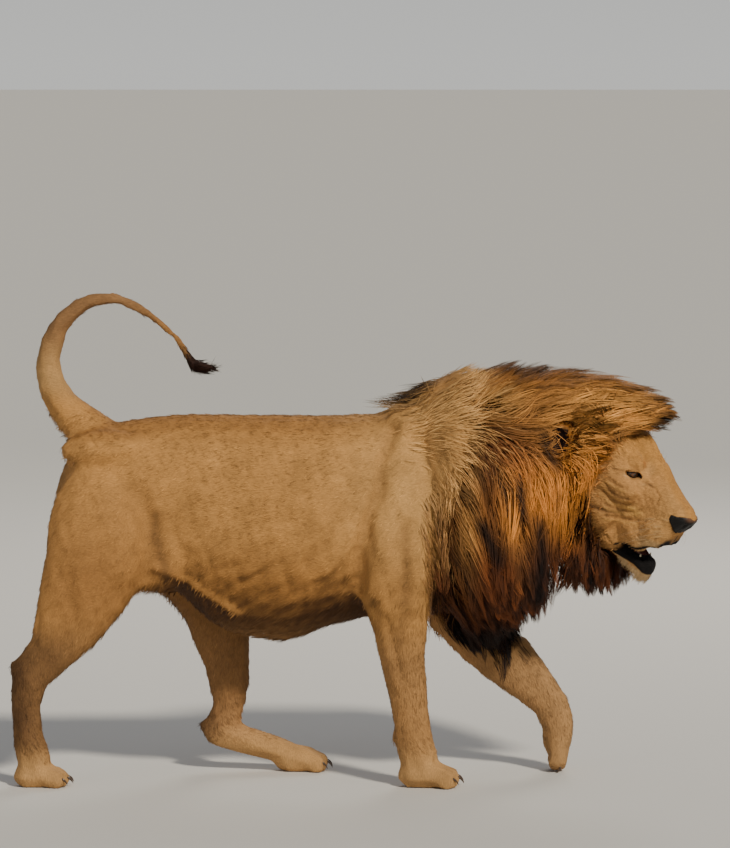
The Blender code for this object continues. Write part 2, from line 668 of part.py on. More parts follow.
def build_head():
    """The head, its jaw, eyes, nose, teeth and tongue. Returns the hollows that the mane has for them."""
    place, jaw_at = head_place(), jaw_place()
    masses = bmesh.new()
    loft(masses, tall_sections(SKULL), place, along=(1, 0, 0), power=2.3, sides=28)
    for centre, half_sizes in HEAD_MASSES:
        paired(masses, centre, half_sizes, place)
    head = object_of("head", masses, CUTTERS)
    fuse(head, HEAD_VOXEL, 24, HEAD_TRIANGLES)
    cut(head, block((-0.6, -0.4, -0.4), (HEAD_BACK, 0.4, 0.4), place), "DIFFERENCE")
    hollows = [grown(head, 2 * GAP), ball("mouth", *MOUTH, place, CUTTERS)]
    cut(head, ball("palate", *PALATE, place, CUTTERS), "DIFFERENCE")

    masses = bmesh.new()
    loft(masses, tall_sections(JAW), jaw_at, along=(1, 0, 0), power=2.3, sides=20)
    ellipsoid(masses, *CHIN, jaw_at)
    jaw = object_of("lower_jaw", masses, CUTTERS)
    fuse(jaw, HEAD_VOXEL, 8, JAW_TRIANGLES)
    hollows.append(grown(jaw, 2 * GAP))
    cut(jaw, grown(head, GAP), "DIFFERENCE")

    tongue = ball("tongue", *TONGUE, jaw_at, LION)
    tongue.data.materials.append(MATERIALS["tongue"])
    for skin in (head, jaw):
        cut(skin, grown(tongue, GAP), "DIFFERENCE")

    nose_outline, nose_half = NOSE_PAD, NOSE_PAD_HALF
    carve(head, "nose_pad", lambda grow: side_block(nose_outline, nose_half, place, grow), "leather")
    for side, name in ((-1, "right"), (1, "left")):
        centre = (EYE_AT.x, side * EYE_AT.y, EYE_AT.z)
        eye = ball("eye_" + name, centre, (EYE_RADIUS,) * 3, place, LION)
        eye.data.materials.append(MATERIALS["eye"])
        facing = turned(centre, side * EYE_OUTWARD) @ Matrix.Translation((EYE_RADIUS, 0, 0))
        cut(head, ball("lids", (0, 0, 0), EYE_OPENING, place @ facing, CUTTERS), "DIFFERENCE")
        cut(head, grown(eye, GAP), "DIFFERENCE")
        for root, skin, at, which, direction in ((UPPER_CANINE, head, place, "upper", -1),
                                                 (LOWER_CANINE, jaw, jaw_at, "lower", 1)):
            root = (root[0], side * root[1], root[2])
            tooth = canine(f"canine_{which}_{name}", root, at, direction)
            tooth.data.materials.append(MATERIALS["tooth"])
            cut(skin, grown(tooth, GAP), "DIFFERENCE")
    finish(head, "head", "coat")
    finish(jaw, "lower_jaw", "coat")
    return hollows


def build_ears():
    """Rounded cups that open forward and outward. Returns the hollows that the mane has for them."""
    hollows = []
    for side, name in ((-1, "right"), (1, "left")):
        centre = (EAR_AT.x, side * EAR_AT.y, EAR_AT.z)
        place = head_place() @ turned(centre, side * EAR_OUTWARD, math.radians(-12))
        ear = ball("ear_" + name, (0, 0, 0), EAR_HALF, place, LION, 10)
        cut(ear, ball("ear_hollow", (0.026, 0, 0.004), (0.026, 0.032, 0.042), place, CUTTERS, 10), "DIFFERENCE")
        ear.data.materials.append(MATERIALS["coat"])
        hollows.append(ball("mane_hollow", (0.066, 0, 0.006), (0.068, 0.054, 0.062), place, CUTTERS, 10))
        hollows.append(ball("ear_socket", (0, 0, 0), [half + 2 * GAP for half in EAR_HALF], place, CUTTERS, 10))
    return hollows


def stand_on_origin():
    """Moves the lion so that the origin is on the floor, below the middle of its box."""
    corners = np.array([vert.co for piece in LION.objects for vert in piece.data.vertices])
    low, high = corners.min(axis=0), corners.max(axis=0)
    shift = Matrix.Translation((-(low[0] + high[0]) / 2, -(low[1] + high[1]) / 2, -low[2]))
    for piece in LION.objects:
        piece.data.transform(shift)


def main():
    build_body(build_head() + build_ears())
    stand_on_origin()


clear_scene()
LION = collection("lion")
CUTTERS = collection("cutters")
CUTTERS.hide_render = True
MATERIALS = {name: material(name) for name in COLOURS}
main()
for cutter in CUTTERS.objects:
    cutter.hide_render = True
    cutter.display_type = "WIRE"
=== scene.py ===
"""Looks of a life-size male lion in mid-stride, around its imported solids.

One skin is drawn over the solids of the trunk, legs and tail, and one over the face's. Each lies inside
its solids by the depth of the coat. Tufts of short fur stand on them, and locks of mane are combed over
the mane's solids. Eyeballs, nose, teeth, tongue, ears, whiskers and claws are pieces of their own.

Lengths are in metres. Places are in the body's own frame: X to the nose, Y to the lion's left, Z up, with
the origin between the feet. Those of the face are in the head's frame: ahead, left and up from midway
between the eyes, and they are given for the right side, which the left side mirrors.
"""

import math
from collections import namedtuple

import bmesh
import bpy
import numpy as np
from mathutils import Matrix, Vector
from mathutils.bvhtree import BVHTree


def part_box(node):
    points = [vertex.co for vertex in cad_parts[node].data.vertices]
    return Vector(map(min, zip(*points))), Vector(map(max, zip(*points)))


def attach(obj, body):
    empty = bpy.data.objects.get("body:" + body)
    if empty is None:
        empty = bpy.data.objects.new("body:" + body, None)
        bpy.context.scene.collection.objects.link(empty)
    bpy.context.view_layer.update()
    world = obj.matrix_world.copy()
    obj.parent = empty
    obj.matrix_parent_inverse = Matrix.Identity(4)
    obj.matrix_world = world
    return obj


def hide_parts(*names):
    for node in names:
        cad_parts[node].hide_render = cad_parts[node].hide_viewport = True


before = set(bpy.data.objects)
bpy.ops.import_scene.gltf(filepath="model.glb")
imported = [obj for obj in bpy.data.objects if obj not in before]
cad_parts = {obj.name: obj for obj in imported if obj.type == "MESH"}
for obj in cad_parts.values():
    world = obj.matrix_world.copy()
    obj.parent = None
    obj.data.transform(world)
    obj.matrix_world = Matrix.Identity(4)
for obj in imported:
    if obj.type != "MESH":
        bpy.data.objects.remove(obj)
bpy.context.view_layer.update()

# ---------------------------------------------------------------- places
HEAD_YAW, HEAD_PITCH = math.radians(-38), math.radians(22)      # turned to the right, nose lowered
EYE_BEHIND, EYE_APART = 0.019, 0.0535   # the eyeball's centre, from the point midway between the lids
EYE_OUTWARD = math.radians(38)          # where each eye faces, from straight ahead
EYE_RADIUS = 0.0195
HEAD_IN_BODY = Vector((0.917, -0.15, 0.915))


def centre_of(node):
    low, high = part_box(node)
    return (low + high) / 2


HEAD_TURN = Matrix.Rotation(HEAD_YAW, 3, "Z") @ Matrix.Rotation(HEAD_PITCH, 3, "Y")
HEAD_AT = (centre_of("eye_left") + centre_of("eye_right")) / 2 + HEAD_TURN @ Vector((EYE_BEHIND, 0, 0))
BODY_AT = HEAD_AT - HEAD_IN_BODY        # the body frame's origin, in the row's frame
TURN = np.array(HEAD_TURN)


def from_body(place):
    """A place in the body's frame, in the row's frame."""
    return np.asarray(place, float) + np.array(BODY_AT)


def in_body(points):
    return points - np.array(BODY_AT)


def in_head(points):
    """The same points, in the head's frame: ahead, left, up from midway between the eyes."""
    return (points - np.array(HEAD_AT)) @ TURN


def from_head(points):
    return np.asarray(points, float) @ TURN.T + np.array(HEAD_AT)


# ---------------------------------------------------------------- meshes
def listed(items, name, size=3, kind=np.float32):
    """One property of a mesh's points, edges or faces, as an array with a row for each."""
    flat = np.empty(len(items) * size, kind)
    items.foreach_get(name, flat)
    return flat.reshape(-1, size)


def points_of(mesh):
    return listed(mesh.vertices, "co").astype(float)


def normals_of(mesh):
    return listed(mesh.vertices, "normal").astype(float)


def edges_of(mesh):
    return listed(mesh.edges, "vertices", 2, np.int32)


def triangles_of(mesh):
    mesh.calc_loop_triangles()
    return listed(mesh.loop_triangles, "vertices", 3, np.int32)


def put_points(mesh, points):
    mesh.vertices.foreach_set("co", np.ascontiguousarray(points, np.float32).ravel())
    mesh.update()


def mesh_of(name, points, faces):
    """A mesh of points and of faces that all have as many corners."""
    mesh = bpy.data.meshes.new(name)
    corners = faces.shape[1]
    mesh.vertices.add(len(points))
    put_points(mesh, points)
    mesh.loops.add(faces.size)
    mesh.loops.foreach_set("vertex_index", np.ascontiguousarray(faces, np.int32).ravel())
    mesh.polygons.add(len(faces))
    mesh.polygons.foreach_set("loop_start", np.arange(0, faces.size, corners, dtype=np.int32))
    mesh.polygons.foreach_set("use_smooth", np.ones(len(faces), bool))
    mesh.update(calc_edges=True)
    return mesh


def placed(name, data):
    """A new object in the scene."""
    made = bpy.data.objects.new(name, data)
    bpy.context.scene.collection.objects.link(made)
    return made


def piece_of(name, mesh, material, replaces=()):
    """A piece of the lion that rides on its one body."""
    piece = placed(name, mesh)
    mesh.materials.clear()
    mesh.materials.append(material)
    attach(piece, "root")
    if replaces:
        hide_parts(*replaces)


def paint(mesh, name, values):
    """Stores a colour or a weight for each point, which materials read by that name."""
    if values.ndim == 1:
        layer = mesh.attributes.new(name, "FLOAT", "POINT")
        layer.data.foreach_set("value", values.astype(np.float32))
        return
    layer = mesh.attributes.new(name, "FLOAT_COLOR", "POINT")
    four = np.ones((len(values), 4), np.float32)
    four[:, :3] = np.clip(values, 0, 1)
    layer.data.foreach_set("color", four.ravel())


def joined(nodes, grow=0.0):
    """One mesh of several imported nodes, each grown a little so that neighbours overlap."""
    points, faces, start = [], [], 0
    for node in nodes:
        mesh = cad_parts[node].data
        shape = bmesh.new()
        shape.from_mesh(mesh)
        bmesh.ops.remove_doubles(shape, verts=shape.verts, dist=1e-5)
        bmesh.ops.triangulate(shape, faces=shape.faces)
        shape.normal_update()
        points += [vert.co + vert.normal * grow for vert in shape.verts]
        faces += [[start + vert.index for vert in face.verts] for face in shape.faces]
        start += len(shape.verts)
        shape.free()
    return np.array(points), np.array(faces)


def fused(points, faces, voxel):
    """Overlapping closed meshes as one skin of even quads."""
    work = placed("work", mesh_of("work", points, faces))
    remesh = work.modifiers.new("Fuse", "REMESH")
    remesh.mode = "VOXEL"
    remesh.voxel_size = voxel
    remesh.use_smooth_shade = True
    graph = bpy.context.evaluated_depsgraph_get()
    mesh = bpy.data.meshes.new_from_object(work.evaluated_get(graph))
    bpy.data.objects.remove(work)
    return mesh


PULL, PUSH = 0.5, -0.515        # towards the mean of the neighbours, and back from it


def around(values, edges):
    """The mean of the neighbours' values at each point."""
    first, second = edges[:, 0], edges[:, 1]
    total = np.bincount(first, values[second], len(values)) + np.bincount(second, values[first], len(values))
    return total / np.bincount(edges.ravel(), minlength=len(values)).clip(1)


def relax(points, edges, weight, rounds):
    """Evens out facets without shrinking: each round pulls towards the neighbours, then pushes back."""
    for factor in (PULL, PUSH) * rounds:
        mean = np.stack([around(points[:, axis], edges) for axis in range(3)], axis=1)
        points = points + factor * weight[:, None] * (mean - points)
    return points


def smooth_mesh(nodes, voxel, rounds, weight=0.9):
    """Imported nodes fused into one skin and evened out."""
    mesh = fused(*joined(nodes), voxel)
    put_points(mesh, relax(points_of(mesh), edges_of(mesh), np.full(len(mesh.vertices), weight), rounds))
    return mesh


def surface_of(mesh):
    return BVHTree.FromPolygons(points_of(mesh).tolist(), triangles_of(mesh).tolist())


# ---------------------------------------------------------------- fields over the body
def near_line(points, line, spread):
    """1 on a line, falling off smoothly to its sides. A line of x and z counts at every y."""
    line = np.array(line, float)
    places = points[:, [0, 1, 2] if line.shape[1] == 3 else [0, 2]]
    nearest = np.full(len(points), np.inf)
    for start, end in zip(line, line[1:]):
        along = end - start
        share = np.clip((places - start) @ along / (along @ along), 0, 1)
        gap = np.linalg.norm(places - start - share[:, None] * along, axis=1)
        nearest = np.minimum(nearest, gap)
    return np.exp(-(nearest / spread) ** 2)


def near_place(points, place, spread):
    """1 at a place, falling off smoothly; spread is one length or one for each axis."""
    return np.exp(-(((points - np.array(place)) / np.array(spread)) ** 2).sum(axis=1))


def ramp(values, start, end):
    """0 before start and 1 after end, smooth between them."""
    share = np.clip((values - start) / (end - start), 0, 1)
    return share * share * (3 - 2 * share)


def unit(vectors):
    return vectors / np.linalg.norm(vectors, axis=-1, keepdims=True).clip(1e-9)


def raised(line, height):
    """The same line, higher by height."""
    line = np.array(line, float)
    line[:, -1] += height
    return line


WAVES, WAVE_PEAK = 7, 1.4       # how many are added, and how high the sum is taken to reach


def waves(points, scale, seed):
    """Smooth even noise from about -1 to 1, about scale across."""
    draw = np.random.default_rng(seed)
    total = np.zeros(len(points))
    for _ in range(WAVES):
        heading = unit(draw.normal(size=3)) * draw.uniform(0.7, 1.5) * 2 * math.pi / scale
        total += np.sin(points @ heading + draw.uniform(0, 2 * math.pi))
    return total / WAVES ** 0.5 / WAVE_PEAK


# ---------------------------------------------------------------- skin of the body
EAR_NODES = ["ear_left", "ear_right"]
FACE_NODES = ["head", "lower_jaw"]
MANE_NODES = [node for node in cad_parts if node.startswith("mane_")]
OWN_NODES = [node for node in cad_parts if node.startswith(("eye", "canine", "nose", "tongue"))]
BODY_NODES = [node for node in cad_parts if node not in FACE_NODES + EAR_NODES + OWN_NODES]

BODY_VOXEL, HEAD_VOXEL, EAR_VOXEL, TONGUE_VOXEL = 0.0086, 0.0028, 0.0032, 0.0025
BODY_ROUNDS, HEAD_ROUNDS, EAR_ROUNDS, TONGUE_ROUNDS, MANE_ROUNDS = 26, 34, 14, 12, 12    # of evening out
OVERLAP = 0.0008                # by which the body's solids are grown, so that they fuse
COAT_DEPTH, MANE_DEPTH, PAW_DEPTH = 0.006, 0.055, 0.003     # of the skin below the solids
FLOOR_GAP = 0.0004              # the lowest that skin and hair reach
ANY = 9                         # a spread that takes in the whole width


def nearness(points, nodes, reach):
    """1 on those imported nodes, and 0 at reach or more from them."""
    surface = BVHTree.FromPolygons(*[part.tolist() for part in joined(nodes)])
    gap = np.full(len(points), reach)
    for place, point in enumerate(points):
        found = surface.find_nearest(Vector(point), reach)
        if found[0] is not None:
            gap[place] = found[3]
    return 1 - gap / reach


# Creases and swellings of both sides: line in side view, width, height (in is negative).
FOLDS = (
    (((0.18, 1.04), (0.15, 0.95), (0.138, 0.86), (0.108, 0.79), (0.088, 0.7), (0.08, 0.58)),
     0.016, -0.011),
    (((0.225, 1.06), (0.2, 0.98), (0.19, 0.9), (0.215, 0.8)), 0.022, 0.006),
    (((0.15, 0.76), (0.15, 0.66), (0.128, 0.58)), 0.03, 0.007),
    (((0.225, 0.78), (0.215, 0.7), (0.222, 0.58)), 0.02, -0.006),
    (((0.285, 0.8), (0.275, 0.66), (0.255, 0.54)), 0.026, 0.005),
    (((0.165, 0.5), (0.185, 0.42), (0.205, 0.32)), 0.012, -0.004),
    (((-0.5, 0.64), (-0.44, 0.61), (-0.36, 0.56), (-0.27, 0.5)), 0.016, 0.009),
    (((-0.55, 0.86), (-0.525, 0.78), (-0.505, 0.7), (-0.515, 0.63)), 0.03, -0.006),
    (((-0.64, 0.86), (-0.62, 0.74), (-0.6, 0.64)), 0.04, 0.007),
    (((-0.76, 0.62), (-0.74, 0.52), (-0.78, 0.42)), 0.022, -0.005),
    (((-0.3, 0.64), (-0.23, 0.66), (-0.17, 0.72)), 0.014, -0.004),
    (((-0.255, 0.6), (-0.19, 0.63), (-0.13, 0.69)), 0.012, -0.004),
    (((-0.07, 0.66), (-0.02, 0.71), (0.01, 0.8)), 0.016, -0.004),
    (((-0.01, 0.63), (0.04, 0.68), (0.06, 0.76)), 0.013, 0.004),
    (((0.03, 0.56), (0.06, 0.62), (0.072, 0.7)), 0.01, -0.004),
)
SLACK_AT, SLACK_SPREAD = (-0.1, 0, 0.6), (0.3, ANY, 0.12)     # where the skin of the flank ripples
RIPPLE, DIMPLE = 0.002, 0.0012         # heights of the flank's ripples and of the whole skin's unevenness
TOE_GROOVE, TOE_GROOVE_WIDTH = 0.0065, 0.0075

PAWS = (                # heel, how far the toes point down, length, width, height
    ((0.198, -0.138, -0.01), 0, 0.18, 0.132, 0.094),
    ((-0.922, -0.132, -0.01), 0, 0.165, 0.116, 0.086),
    ((-0.165, 0.134, -0.01), 0, 0.16, 0.116, 0.092),
    ((0.622, 0.13, 0.136), 80, 0.146, 0.118, 0.084),
)
TOES = ((-1.5, 0.0), (-0.5, 0.09), (0.5, 0.09), (1.5, 0.0))     # place in toes' widths, lead
TOE_WIDTH = 0.245                                               # as a share of the paw's width
BETWEEN_TOES = ((0.6, 0.95), (0.76, 0.85), (0.92, 0.62), (0.99, 0.35))     # ahead and up, as shares


def in_paw(paw, ahead, across, up):
    """A place in the body's frame, from shares of a paw's length, width and height."""
    heel, pitch, length, width, height = paw
    turn = Matrix.Rotation(math.radians(pitch), 3, "Y")
    return np.array(Vector(heel) + turn @ Vector((ahead * length, across * width, up * height)))


def toe_lines():
    """Where the toes meet, on top of each paw."""
    return [[in_paw(paw, ahead, across, up) for ahead, up in BETWEEN_TOES]
            for paw in PAWS for across in (-TOE_WIDTH, 0.0, TOE_WIDTH)]


def build_body_skin():
    """The trunk, legs and tail, and beneath the mane the neck, as one skin."""
    mesh = fused(*joined(BODY_NODES, OVERLAP), BODY_VOXEL)
    points, edges = points_of(mesh), edges_of(mesh)
    body = in_body(points)
    on_feet = 1 - ramp(body[:, 2], 0.1, 0.22)
    on_tail = ramp(body[:, 2], 1.08, 1.16) * ramp(-body[:, 0], 0.22, 0.3)
    evenness = 1 - 0.85 * np.maximum(on_feet, 0.6 * on_tail)
    points = relax(points, edges, evenness, BODY_ROUNDS)
    put_points(mesh, points)
    outer = mesh.copy()
    body = in_body(points)
    normals = normals_of(mesh)
    mane = nearness(points, MANE_NODES, 0.09)
    depth = COAT_DEPTH + (MANE_DEPTH - COAT_DEPTH) * ramp(mane, 0.35, 1.0)
    depth = depth - (COAT_DEPTH - PAW_DEPTH) * on_feet
    sides = np.abs(normals[:, 1])
    for line, width, height in FOLDS:
        depth -= height * near_line(body, line, width) * ramp(sides, 0.2, 0.6) * (mane < 0.3)
    slack = near_place(body, SLACK_AT, SLACK_SPREAD) * waves(body * (1.0, 1.0, 0.5), 0.05, 31)
    depth += RIPPLE * slack + DIMPLE * waves(body, 0.045, 32) * (1 - on_feet)
    for line in toe_lines():
        depth += TOE_GROOVE * near_line(body, line, TOE_GROOVE_WIDTH)
    points = points - normals * depth[:, None]
    # Behind the face, the skin under the mane draws in, so that it stays hidden.
    head = in_head(points)
    behind = ramp(mane, 0.3, 0.8) * ramp(head[:, 0], -0.26, -0.14)
    behind *= ramp(head[:, 2], -0.34, -0.26) * ramp(-head[:, 2], -0.13, -0.08)
    head[:, 0] -= 0.06 * behind
    head[:, 1:] = (0, -0.06) + (head[:, 1:] - (0, -0.06)) * (1 - 0.35 * behind)[:, None]
    points = from_head(head)
    points[:, 2] = np.maximum(points[:, 2], FLOOR_GAP)
    points = relax(points, edges, 0.5 * ramp(mane, 0.3, 0.6), MANE_ROUNDS)
    put_points(mesh, points)
    return mesh, outer, mane


# ---------------------------------------------------------------- colours
def lit(red, green, blue):
    """A colour as it looks in daylight, 0 to 255, as the shader's linear one."""
    return tuple(((value / 255 + 0.055) / 1.055) ** 2.4 for value in (red, green, blue))


FLANK, BACK, LOW_FLANK = lit(174, 126, 70), lit(150, 104, 54), lit(146, 100, 50)
SHOULDER, THIGH, WRIST = lit(182, 138, 82), lit(146, 102, 56), lit(158, 116, 70)
# Of these, the dark brown for the belly is painted shade under the body.
BELLY_SHADE, GROIN, SHADE = lit(48, 25, 13), lit(176, 132, 86), lit(104, 70, 38)
FOOT, FAR_PAW, HOCK = lit(176, 134, 84), lit(156, 118, 76), lit(76, 52, 31)
TAIL_SKIN, TAIL_TOP, TUFT_DARK = lit(172, 132, 82), lit(126, 90, 58), lit(40, 20, 11)
FOREHEAD, CHEEK, MUZZLE = lit(176, 126, 66), lit(182, 132, 76), lit(176, 130, 76)
# Of these, the gold is a painted highlight on the ridges and the swelling of the cheek.
BRIDGE, CHEEK_HIGHLIGHT, BROW = lit(168, 118, 60), lit(202, 154, 82), lit(128, 76, 30)
CREAM, CHIN, SPOT = lit(214, 184, 136), lit(200, 166, 120), lit(58, 34, 20)
# Of these, the second is painted shade for the hollows of the ears.
LIP, EAR_HOLLOW_SHADE, LEATHER = lit(12, 9, 9), lit(30, 15, 12), lit(11, 8, 7)
LEATHER_TOP = lit(112, 76, 52)
# The skin under the mane is painted nearly black, as the shade in the gaps between its locks.
MANE_GAP_SHADE = lit(34, 17, 9)


def blend(base, *layers):
    """A colour for each point, under layers of (colour, weight) put on in turn."""
    for colour, weight in layers:
        base = base + (np.array(colour) - base) * np.clip(weight, 0, 1)[:, None]
    return base


def evenly(colour, count):
    return np.tile(np.array(colour), (count, 1))


def mottled(colour, points, *waviness):
    """Colours made uneven by waves of (height, scale, seed)."""
    uneven = sum(height * waves(points, scale, seed) for height, scale, seed in waviness)
    return colour * (1 + uneven)[:, None]


def both_sides(points):
    """Points with those on the left side folded over to the right."""
    folded = points.copy()
    folded[:, 1] = -np.abs(folded[:, 1])
    return folded


def on_face(points):
    """Points in the head's frame, folded over to the right side."""
    return both_sides(in_head(points))


FLANK_MARK = ((-0.5, 0.8), (-0.505, 0.74), (-0.485, 0.68), (-0.47, 0.62))      # x and z
# A line of painted shade in the groove between the shoulder's muscles, as x and z.
ARM_GROOVE_SHADE = ((0.215, 0.76), (0.222, 0.68), (0.218, 0.56), (0.205, 0.44))
HEELS = (((-0.905, -0.135, 0.34), (0.04, 0.08, 0.07)), ((-0.895, -0.135, 0.2), (0.03, 0.08, 0.07)),
         ((-0.375, 0.14, 0.14), (0.05, 0.08, 0.05)))      # dark places behind the hind feet: place, spread
CREASE_SHADE = 24               # how much darker a crease is, for each metre of its depth


def body_colour(points, normals):
    """The coat's colour over the trunk, legs and tail."""
    body = in_body(points)
    x, y, z = body.T
    sides = np.abs(normals[:, 1])
    under = ramp(-normals[:, 2], 0.15, 0.7) * ramp(z, 0.36, 0.4) * ramp(-z, -0.78, -0.62)
    inner = ramp(-z, -0.66, -0.46) * ramp(np.sign(y) * -normals[:, 1], 0.1, 0.7)
    heels = sum(near_place(body, place, spread) for place, spread in HEELS)
    far_hind = ramp(y, 0.02, 0.06) * ramp(-x, 0.1, 0.2) * ramp(-z, -0.62, -0.5) * ramp(z, 0.12, 0.22)
    # Painted shade over the lower part of the hind leg that is furthest back.
    shaded_shank = ramp(-x, 0.66, 0.82) * ramp(-z, -0.5, -0.4) * ramp(z, 0.06, 0.14)
    tail = ramp(z, 1.09, 1.18) * ramp(-x, 0.22, 0.3)
    creases = [(SHADE, CREASE_SHADE * max(-height, 0) * near_line(body, line, width) * ramp(sides, 0.2, 0.6))
               for line, width, height in FOLDS]
    # Painted shade in the grooves between the toes.
    toes = [(HOCK, 0.8 * near_line(body, line, 0.006)) for line in toe_lines()]
    colour = blend(
        evenly(FLANK, len(points)),
        (BACK, 0.9 * ramp(normals[:, 2], 0.45, 0.95) * ramp(z, 0.96, 1.04)),
        (SHOULDER, near_place(body, (0.25, 0, 0.88), (0.2, ANY, 0.28))),
        (THIGH, 0.8 * near_place(body, (-0.68, 0, 0.6), (0.2, ANY, 0.22))),
        (LOW_FLANK, 0.8 * near_place(body, (-0.2, 0, 0.58), (0.38, ANY, 0.1))),
        # Painted shade on the underside of the belly.
        (BELLY_SHADE, 0.9 * under * ramp(x, -0.62, -0.4)),
        (WRIST, ramp(-z, -0.52, -0.36)),
        (GROIN, 0.6 * inner),
        (FOOT, ramp(-z, -0.16, -0.06)),
        (FAR_PAW, 0.8 * (y > 0.05) * ramp(x, 0.36, 0.46) * ramp(-z, -0.5, -0.3)),
        (HOCK, 0.9 * heels),
        (HOCK, 0.55 * near_line(body, FLANK_MARK, 0.016) * (sides > 0.3)),
        # Painted shade in the groove between the shoulder's muscles, on the near side.
        (HOCK, 0.4 * near_line(body, ARM_GROOVE_SHADE, 0.018) * ramp(-normals[:, 1], 0.3, 0.7)),
        *creases,
        (SHADE, 0.55 * far_hind),
        *toes,
        (HOCK, 0.62 * shaded_shank),
        (TAIL_SKIN, tail),
        (TAIL_TOP, 0.8 * tail * ramp(z, 1.2, 1.34)),
        (BACK, 0.6 * tail * ramp(x, -0.6, -0.46)),
        (TUFT_DARK, 1.7 * near_place(body, (-0.37, -0.034, 1.215), (0.06, 0.1, 0.05))),
    )
    return mottled(colour, points, (0.1, 0.13, 3), (0.08, 0.045, 4))


# Lines of the face, in the head's frame.
TEAR_LINE = ((0.006, -0.056, -0.008), (0.04, -0.05, -0.008), (0.066, -0.047, -0.01),
             (0.088, -0.05, -0.024), (0.094, -0.058, -0.046))
EYE_CORNER = ((-0.02, -0.08, 0.004), (-0.05, -0.104, 0.002))
WHISKER_ROWS = (
    ((0.068, -0.069, -0.112), (0.12, -0.064, -0.09), (0.166, -0.046, -0.074)),
    ((0.077, -0.071, -0.131), (0.125, -0.066, -0.11), (0.172, -0.045, -0.092)),
    ((0.082, -0.071, -0.145), (0.13, -0.066, -0.124), (0.174, -0.042, -0.104)),
    ((0.088, -0.07, -0.158), (0.134, -0.062, -0.138), (0.177, -0.038, -0.117)),
)
CHEEK_FOLDS = (         # x and z
    ((-0.06, -0.04), (-0.035, -0.062), (0.0, -0.068), (0.022, -0.064)),
    ((-0.055, -0.07), (-0.02, -0.086), (0.012, -0.086), (0.03, -0.08)),
    ((-0.03, -0.104), (0.004, -0.108), (0.036, -0.1), (0.056, -0.084)),
    ((-0.02, -0.136), (0.02, -0.13), (0.06, -0.116)),
    ((-0.052, -0.03), (-0.02, -0.034), (0.008, -0.034)),
)
CHEEK_CREASE = ((-0.07, -0.16, -0.12), (-0.048, -0.14, -0.122), (-0.022, -0.108, -0.12),
                (0.004, -0.092, -0.116))
UNDER_EYE = ((-0.02, -0.084, -0.01), (-0.004, -0.072, -0.021), (0.018, -0.058, -0.024),
             (0.034, -0.05, -0.018))
BROW_MARK = ((0.008, -0.046, 0.034), (0.002, -0.044, 0.052), (-0.004, -0.042, 0.07))
MOUTH_CORNER = ((-0.052, -0.098, -0.196), (-0.03, -0.085, -0.19), (0.0, -0.072, -0.206))
UPPER_LIP = ((0.0, -0.062, -0.212), (0.02, -0.062, -0.203), (0.042, -0.061, -0.195),
             (0.08, -0.062, -0.183), (0.11, -0.06, -0.171), (0.145, -0.05, -0.158),
             (0.168, -0.028, -0.15), (0.176, 0.0, -0.146))
LIP_SPLIT = ((0.182, 0.0, -0.146), (0.19, 0.0, -0.106))        # from the mouth up to the nose
LIP_SWELL = (0.178, -0.026, -0.148)     # the lip is thickest under the nose
PALATE = ((0.06, 0.0, -0.196), (0.104, 0.044, 0.047))      # the hollow behind the lips: centre, half sizes
JAW_DROP = math.radians(20)     # how far the mouth is open
JAW_LIFT = math.radians(2)      # the skin's jaw hangs a little less than the solid's
JAW_HINGE = np.array((-0.09, 0, -0.1))
JAW_TURN = np.array(Matrix.Rotation(JAW_DROP, 3, "Y"))
# The lower edge of the closed jaw's lip, as x and z.
JAW_LIP = ((0.0, -0.21), (0.03, -0.213), (0.065, -0.204), (0.095, -0.195), (0.12, -0.19))


def on_jaw(places):
    """Places on the closed jaw, in the head's frame, with the jaw lowered."""
    return (np.asarray(places, float) - JAW_HINGE) @ JAW_TURN.T + JAW_HINGE


def in_jaw(head):
    """Places in the head's frame, as they would be with the jaw closed."""
    return (head - JAW_HINGE) @ JAW_TURN + JAW_HINGE


def height_on(line, ahead, **ends):
    """The height of a line of x and z at places ahead."""
    return np.interp(ahead, *zip(*line), **ends)


def lip_weight(points, part):
    """1 on the black lips, and on the mouth's inside, which is painted black as its shade, 0 on fur; part is
    1 on the jaw.
    """
    head = on_face(points)
    closed = in_jaw(head)
    below = closed[:, 2] - height_on(JAW_LIP, closed[:, 0])
    lower = part * ramp(below, -0.002, 0.003) * ramp(closed[:, 0], 0.008, 0.022)
    upper = 1.5 * near_line(head, UPPER_LIP, 0.0062) * (1 - part)
    # The inside of the mouth is painted black, as painted shade.
    centre, half = (np.array(measure) for measure in PALATE)
    hollow = np.linalg.norm((head - centre) / half, axis=1)
    inside = (1 - ramp(hollow, 0.99, 1.05)) * (head[:, 0] > -0.01)
    split = 1.4 * near_line(head, LIP_SPLIT, 0.0032)
    swell = 1.8 * near_place(head, LIP_SWELL, (0.024, 0.026, 0.018)) * (1 - part)
    return np.clip(np.maximum.reduce([lower, upper, inside, split, swell]), 0, 1)


# Where the nose's leather ends, as x and z: ahead of one line and below the other it is leather.
LEATHER_EDGE = ((0.144, -0.068), (0.154, -0.084), (0.166, -0.114))
LEATHER_CREST = ((0.13, -0.062), (0.165, -0.058), (0.185, -0.053), (0.215, -0.053))


def leather_depth(head):
    """How far inside the nose's leather places of the right side are, along the surface."""
    x, y, z = head.T
    rear = z - height_on(LEATHER_EDGE, x, left=-0.02, right=-0.108)
    crest = height_on(LEATHER_CREST, x) - z + 0.006 * ramp(np.abs(y), 0.0, 0.018)
    return np.minimum.reduce([rear, crest, x - LEATHER_EDGE[0][0]])


